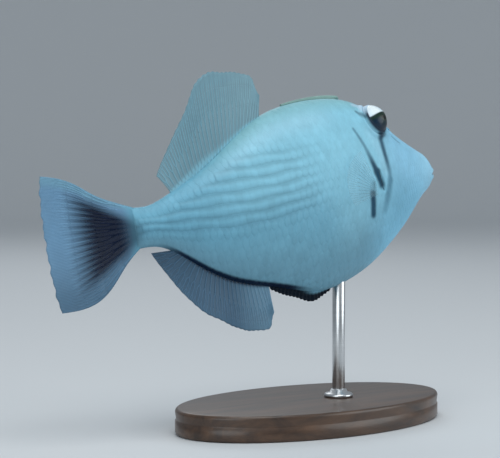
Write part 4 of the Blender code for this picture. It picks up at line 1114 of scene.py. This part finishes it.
def add_ventral_flap():
    """The dark fold behind the rough knob of the pelvic spine, ribbed by rows of stiff scales."""
    edge = spline(FLAP_EDGE)
    start, end = FLAP_SPAN

    def middle(u, v):
        station = start + (end - start) * u
        root = belly_line(station) + FLAP_ROOT
        scallop = FLAP_SCALLOP * np.cos(2 * math.pi * FLAP_RIBS * u)
        tip = np.minimum(edge(u) + scallop, belly_line(station) - FLAP_LEAST)
        lean = FLAP_LEAN * (v - 0.3) * np.sin(math.pi * u)
        return np.stack([-(station + lean), 0 * u, root + (tip - root) * v], -1) * LENGTH

    def thickness(u, v):
        skin = (FLAP_ROOT_THICKNESS - FLAP_EDGE_LOSS * v) * (1 - 0.4 * u) + FLAP_SWELL * (1 - v) ** 2
        rib = FLAP_RIB * wave(FLAP_RIBS * u) * (1 + 0.4 * np.sin(v * 22))
        rough = 1 + 0.15 * np.sin(80 * u) * np.sin(30 * v)
        knob = KNOB_HEIGHT * hump(u, PELVIC_TIP, KNOB_SPREAD) * v * rough
        return skin + rib + knob

    points, faces, u, v = sheet(middle, thickness, FLAP_RIBS, FLAP_MESH)
    pale_root = (1 - ease(v, 0.25, 0.55)) * (1 - ease(u, 0.25, 0.55))
    paint = mixed(coat(points, "flap"), "belly", pale_root)
    make_object("ventral_flap", place(points), faces, FLAP, paint, ("ventral_flap",))


# Eyes and small forms of the head: lid and crescent as shares of the eye, teeth and nostrils in metres

LID_OPENING, LID_LIP, LID_BASE, LID_INSIDE, LID_EDGE = 0.925, 1.03, 1.10, 0.93, 1.005
LID_FOOT, LID_FOOT_ABOVE = 1.75, 0.50
LID_DARK, LID_DARK_BELOW, LID_BROW = (0.04, 0.40), (0.10, 0.45), (0.15, 0.55)
CORNEA_BULGE, CORNEA_SPREAD = 0.10, 0.5
PUPIL_EDGE, IRIS_RING, IRIS_EDGE = (0.385, 0.415), (0.43, 0.035), 0.84
IRIS_SPOKES, SPOKES_START = 46, (0.44, 0.6)
MASK_BACK, MASK_DOWN, UNDER_BROW = (0.1, 0.6), (-0.1, 0.2), (0.15, 0.13)
CRESCENT_LOWER_EDGE, CRESCENT_ARCH, CRESCENT_MIDDLE = 0.47, 0.36, 0.10
CRESCENT_SOFTNESS, CRESCENT_WHITE = (-0.04, 0.04), (0.45, 0.50)
TEETH, TOOTH_WIDTH, TOOTH_HEIGHT, TOOTH_SUNK = 6, 0.00105, 0.0009, 0.0007
TOOTH_SHAPE = (0.88, 0.97, 1.0, 1.0, 1.0)
NOSTRIL_SIZES, NOSTRIL_LENGTH, NOSTRIL_RIM, NOSTRIL_LIFT = (0.00062, 0.00052), 1.2, 0.00026, 0.00022
PIT_SHARE, PIT_LIFTS = 0.95, (0.00010, 0.00012)


def axes_across(look):
    """The directions backwards and up across the way that something faces."""
    back = np.cross(np.cross(look, (-1, 0, 0)), look)
    back /= np.linalg.norm(back)
    return back, np.cross(look, back)


def eye_axes(side):
    """The way an eye looks, and the directions backwards and up across it."""
    look = eye_look(side)
    back, up = axes_across(look)
    return look, back, up * np.sign(up[2])


def add_eyelid(hand, side):
    """The rim of skin that climbs round the eyeball, dark at its lip below and behind, with a painted
    highlight on its top.
    """
    look, back, up = eye_axes(side)
    outer = np.linspace(0, 1, LID_RINGS)
    inner = outer[::-3]
    swell = np.concatenate([LID_LIP + (LID_BASE - LID_LIP) * outer**2, np.full(len(inner), LID_INSIDE)])
    swell[0] = LID_EDGE
    q, t = np.meshgrid(np.concatenate([outer, inner]), circle(LID_ROUND), indexing="ij")
    start = math.asin(LID_OPENING)
    foot = LID_FOOT + LID_FOOT_ABOVE * np.maximum(np.sin(t), 0)
    polar = start + (foot - start) * q
    flat = np.cos(t)[..., None] * back + np.sin(t)[..., None] * up
    reach = EYE_RADIUS * np.sin(polar)[..., None] * flat + EYE_DEPTH * np.cos(polar)[..., None] * look
    points = (eye_centre(side) + swell[:, None, None] * reach).reshape(-1, 3)
    q, height = q.ravel(), np.sin(t).ravel()
    dark = 0.9 * (1 - ease(q, *LID_DARK)) * (1 - ease(height, *LID_DARK_BELOW))
    # Over the skin's paint: the dark lip, and a painted highlight on the lid's top
    paint = layered(skin_paint(points), ("orbit", dark), ("brow_highlight", 0.6 * ease(height, *LID_BROW)))
    faces = grid_faces(len(swell), LID_ROUND, rows_wrap=True, columns_wrap=True)
    make_object("eyelid_" + hand, place(points), faces, SKIN, paint)


def add_teeth():
    """Small close-set teeth that just show between the lips."""
    stations = np.linspace(SNOUT_TIP, 0.05, 400)
    widths = section(stations)[0] * LENGTH
    radii = TOOTH_WIDTH / 2 * np.array(TOOTH_SHAPE)
    rise = TOOTH_HEIGHT * np.linspace(0.06, 1, len(radii))
    pieces = []
    for k in range(TEETH):
        y = (k - (TEETH - 1) / 2) * TOOTH_WIDTH
        x = -np.interp(abs(y), widths, stations) * LENGTH - TOOTH_SUNK
        for way in (-1, 1):
            z = MOUTH_LEVEL * LENGTH - MOUTH_ARCH * y * y + way * rise
            path = np.stack([np.full_like(z, x), np.full_like(z, y), z], 1)
            pieces.append(tube(path, radii, TOOTH_SIDES, 0.95, (1, 0, 0)))
    points, faces = joined(pieces)
    make_object("teeth", place(points), faces, TOOTH, coat(points, "white"))


def add_eye(hand, side):
    """A glossy eyeball with a dark iris, a black pupil and a painted highlight: a pale, partly white crescent
    over its top.
    """
    polar = np.linspace(0.001, math.pi - 0.001, EYE_RINGS)
    p, t = np.meshgrid(polar, circle(EYE_ROUND), indexing="ij")
    look, back, up = eye_axes(side)
    x, y, z = [share.ravel() for share in (np.sin(p) * np.cos(t), np.sin(p) * np.sin(t), np.cos(p))]
    deep = EYE_DEPTH * z * (1 + CORNEA_BULGE * hump(p.ravel(), 0, CORNEA_SPREAD))
    offset = EYE_RADIUS * (x[:, None] * back + y[:, None] * up) + deep[:, None] * look
    points = offset + eye_centre(side)
    radius, height = np.hypot(x, y), offset[:, 2] / EYE_RADIUS
    # Painted highlight: a pale crescent, partly white, over the eyeball's top, where light from above falls
    edge = CRESCENT_LOWER_EDGE - CRESCENT_ARCH * (x - CRESCENT_MIDDLE) ** 2
    crescent = ease(height - edge, *CRESCENT_SOFTNESS)
    paint = layered(
        coat(points, "orbit") * 0.8,
        ("iris", 0.8 * ease(IRIS_EDGE - radius, 0, 0.25)),
        ("iris_ring", 0.75 * hump(radius, *IRIS_RING)),
        (None, 0.18 * np.sin(np.arctan2(y, x) * IRIS_SPOKES) * ease(radius, *SPOKES_START)),
        (None, -0.97 * (1 - ease(radius, *PUPIL_EDGE))),
        ("mask", ease(x, *MASK_BACK) * (1 - ease(height, *MASK_DOWN))),
        ("under_brow", 0.9 * hump(edge - height, *UNDER_BROW)),
        ("brow_highlight", crescent),
        ("white", 0.9 * crescent * hump(x, *CRESCENT_WHITE)),
    )
    name = "eye_" + hand
    make_object(name, place(points), capped_faces(EYE_RINGS, EYE_ROUND), EYE, paint, (name,))


def add_nostrils(hand, side):
    """Two small open nostrils before the eye, each a raised rim round a pit painted dark as shade."""
    pieces, paints = [], []
    turn, profile = circle(NOSTRIL_ROUND), circle(NOSTRIL_RIM_ROUND)
    for (station, level), size in zip(NOSTRILS, NOSTRIL_SIZES):
        centre, normal = [found[0] for found in on_flank([station], [level], side)]
        back, up = axes_across(normal)
        flat = np.cos(turn)[:, None] * back * NOSTRIL_LENGTH + np.sin(turn)[:, None] * up
        ring = centre + size * flat + normal * NOSTRIL_LIFT
        out = (ring - centre) / size
        rim = np.cos(profile)[None, :, None] * out[:, None] + np.sin(profile)[None, :, None] * normal
        rim = (ring[:, None] + NOSTRIL_RIM * rim).reshape(-1, 3)
        pieces.append((rim, grid_faces(NOSTRIL_ROUND, NOSTRIL_RIM_ROUND, rows_wrap=True, columns_wrap=True)))
        paints.append(coat(rim, "head") * 0.9)
        middle, edge = [centre + normal * lift for lift in PIT_LIFTS]
        pit = np.vstack([middle, edge + PIT_SHARE * (ring - ring.mean(0))])
        pieces.append((pit, [(0, 1 + i, 1 + (i + 1) % NOSTRIL_ROUND) for i in range(NOSTRIL_ROUND)]))
        # Painted shade: the pit's floor in a very dark colour
        paints.append(coat(pit, "orbit") * 0.3)
    points, faces = joined(pieces)
    make_object("nostrils_" + hand, place(points), faces, SKIN, np.vstack(paints), closed=False)


# Stand, floor, light and camera: sizes in metres, the step's heights and the collar's radii as shares

BASE_CORNER, BASE_STEP, BASE_STEP_HEIGHTS = 0.0018, 0.0005, (0.52, 0.55, 0.60)
BASE_FOOT = [(0.0012, 0.0), (0.0004, 0.0004), (0.0, 0.0012)]
COLLAR = [
    (1.02, -0.0002), (2.3, -0.0002), (2.3, 0.0010), (2.1, 0.0016),
    (1.5, 0.0019), (1.25, 0.0034), (1.02, 0.0036),
]


def wood_material():
    """Dark waxed wood with a long grain."""
    noise = {"Scale": 3.2, "Detail": 9.0, "Roughness": 0.62, "Distortion": 0.9}
    dark, light = (0.30, (0.020, 0.010, 0.006, 1)), (0.72, (0.105, 0.052, 0.026, 1))
    stretch = (4.0, 34.0, 34.0)
    return streaked_material(
        "dark_wood", 0.38, stretch, noise, dark, light, 0.35, 0.0002, Coat_Weight=0.25, Coat_Roughness=0.2
    )


def steel_material():
    """Satin steel with fine lines round it."""
    noise = {"Scale": 1.0, "Detail": 3.0}
    dark, light = (0.0, (0.50, 0.51, 0.52, 1)), (1.0, (0.70, 0.71, 0.72, 1))
    stretch = (30.0, 30.0, 3000.0)
    return streaked_material("satin_steel", 0.28, stretch, noise, dark, light, 0.15, 0.00005, Metallic=1.0)


def turned(profile, sides, centre, stretch=1.0):
    """Points and faces of a closed turned form from (radius, height) pairs, stretched along Y."""
    angle = circle(sides)
    radius, height = np.array(profile).T
    x = centre[0] + radius[:, None] * np.cos(angle)
    y = centre[1] + radius[:, None] * np.sin(angle) * stretch
    z = np.repeat(height[:, None], sides, 1)
    return np.stack([x, y, z], -1).reshape(-1, 3), capped_faces(len(profile), sides)


def add_base():
    """The oval base, with a fine step round its edge and its upper corner rounded."""
    low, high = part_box("stand_base")
    half, height = (high.x - low.x) / 2, high.z
    outer, step, rounded = BASE_STEP_HEIGHTS
    profile = [(half - inset, z) for inset, z in BASE_FOOT]
    profile.append((half, height * outer))
    profile += [(half - BASE_STEP, height * step), (half - BASE_STEP, height * rounded)]
    for t in np.linspace(0, math.pi / 2, 9):
        inset, drop = BASE_CORNER * (1 - math.cos(t)), BASE_CORNER * (1 - math.sin(t))
        profile.append((half - inset, height - drop))
    profile += [(half * 0.5, height), (0.004, height)]
    points, faces = turned(profile, BASE_SIDES, (low + high) / 2, (high.y - low.y) / (high.x - low.x))
    make_object("stand_base_wood", points, faces, wood_material(), stands_for=("stand_base",))


def add_rod():
    """The steel rod and the collar round its foot."""
    low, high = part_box("stand_rod")
    middle, radius = (low + high) / 2, (high.x - low.x) / 2
    steel = steel_material()
    profile = [(radius * 0.9, low.z - 0.0002), (radius, low.z + 0.0003)]
    profile += [(radius, high.z - 0.0006), (radius * 0.8, high.z)]
    points, faces = turned(profile, ROD_SIDES, middle)
    make_object("stand_rod_steel", points, faces, steel, stands_for=("stand_rod",))
    points, faces = turned([(radius * share, low.z + up) for share, up in COLLAR], ROD_SIDES, middle)
    make_object("stand_collar_steel", points, faces, steel)


def add_floor():
    """A pale floor that curves up into a low wall all round."""
    made, _, shader = new_material("floor", 0.7)
    shader.inputs["Base Color"].default_value = FLOOR_COLOUR
    bend = np.linspace(0, math.pi / 2, 24)
    sweep = FLOOR_FLAT + FLOOR_SWEEP * np.sin(bend)
    radius = np.concatenate([[0.01, 0.5, 1.0, 1.5], sweep, [FLOOR_FLAT + FLOOR_SWEEP]])
    height = np.concatenate([np.zeros(4), FLOOR_SWEEP * (1 - np.cos(bend)), [FLOOR_WALL]]) - 0.0001
    points, faces = turned(np.stack([radius, height], 1), FLOOR_SIDES, (0, 0))
    floor = mesh_object("floor", points, faces[:-1], made)


def backwards(azimuth_deg, elevation_deg):
    """From the fish towards a light or the camera. Azimuth 0 is on the fish's right."""
    a, e = math.radians(azimuth_deg), math.radians(elevation_deg)
    return Vector((math.sin(a) * math.cos(e), -math.cos(a) * math.cos(e), math.sin(e)))


def add_lights():
    """Soft light from all round and from lamps that the camera doesn't see."""
    world = bpy.data.worlds.new("studio")
    world.use_nodes = True
    background = world.node_tree.nodes["Background"]
    background.inputs["Color"].default_value = SKY
    background.inputs["Strength"].default_value = SKY_STRENGTH
    bpy.context.scene.world = world
    for name, (azimuth, elevation, distance, wide, tall, power, colour) in LIGHTS.items():
        light = bpy.data.lights.new(name, "AREA")
        light.shape, light.size, light.size_y = "ELLIPSE", wide, tall
        light.energy, light.color = power, colour
        obj = bpy.data.objects.new(name, light)
        back = backwards(azimuth, elevation)
        obj.location = Vector((0, 0, AXIS_HEIGHT)) + back * distance
        obj.rotation_euler = back.to_track_quat("Z", "Y").to_euler()
        obj.visible_camera = False
        bpy.context.scene.collection.objects.link(obj)


def add_camera():
    """The camera that sees the model as the photograph shows the fish."""
    back = backwards(CAMERA_AZIMUTH_DEG, CAMERA_ELEVATION_DEG)
    a = math.radians(CAMERA_AZIMUTH_DEG)
    right = Vector((math.cos(a), math.sin(a), 0))
    up = back.cross(right)
    data = bpy.data.cameras.new("camera")
    data.sensor_width = SENSOR_MM
    data.lens = CAMERA_FOCAL_PX / FRAME_WIDTH_PX * SENSOR_MM
    data.clip_start = 0.01
    camera = bpy.data.objects.new("camera", data)
    target = Vector((0, 0, AXIS_HEIGHT)) + right * CAMERA_ASIDE + up * CAMERA_UP
    camera.location = target + back * CAMERA_DISTANCE
    camera.rotation_euler = Matrix((right, up, back)).transposed().to_euler()
    bpy.context.scene.collection.objects.link(camera)
    bpy.context.scene.camera = camera


def main():
    bpy.context.scene.view_settings.view_transform = "Standard"
    add_camera()
    add_floor()
    add_lights()
    add_skin()
    for hand, side in SIDES.items():
        add_scales(hand, side)
        add_eye(hand, side)
        add_eyelid(hand, side)
        add_nostrils(hand, side)
        add_pectoral_fin(hand, side)
    add_teeth()
    add_first_dorsal_fin()
    add_ribbon_fin("second_dorsal_fin", SECOND_DORSAL, back_line, 1, ("fin", "fin", "ray", "flank"), 0.8)
    add_ribbon_fin("anal_fin", ANAL, belly_line, -1, ("anal", "anal_front", "anal_ray", "line"), 0.95)
    add_caudal_fin()
    add_ventral_flap()
    add_base()
    add_rod()


main()
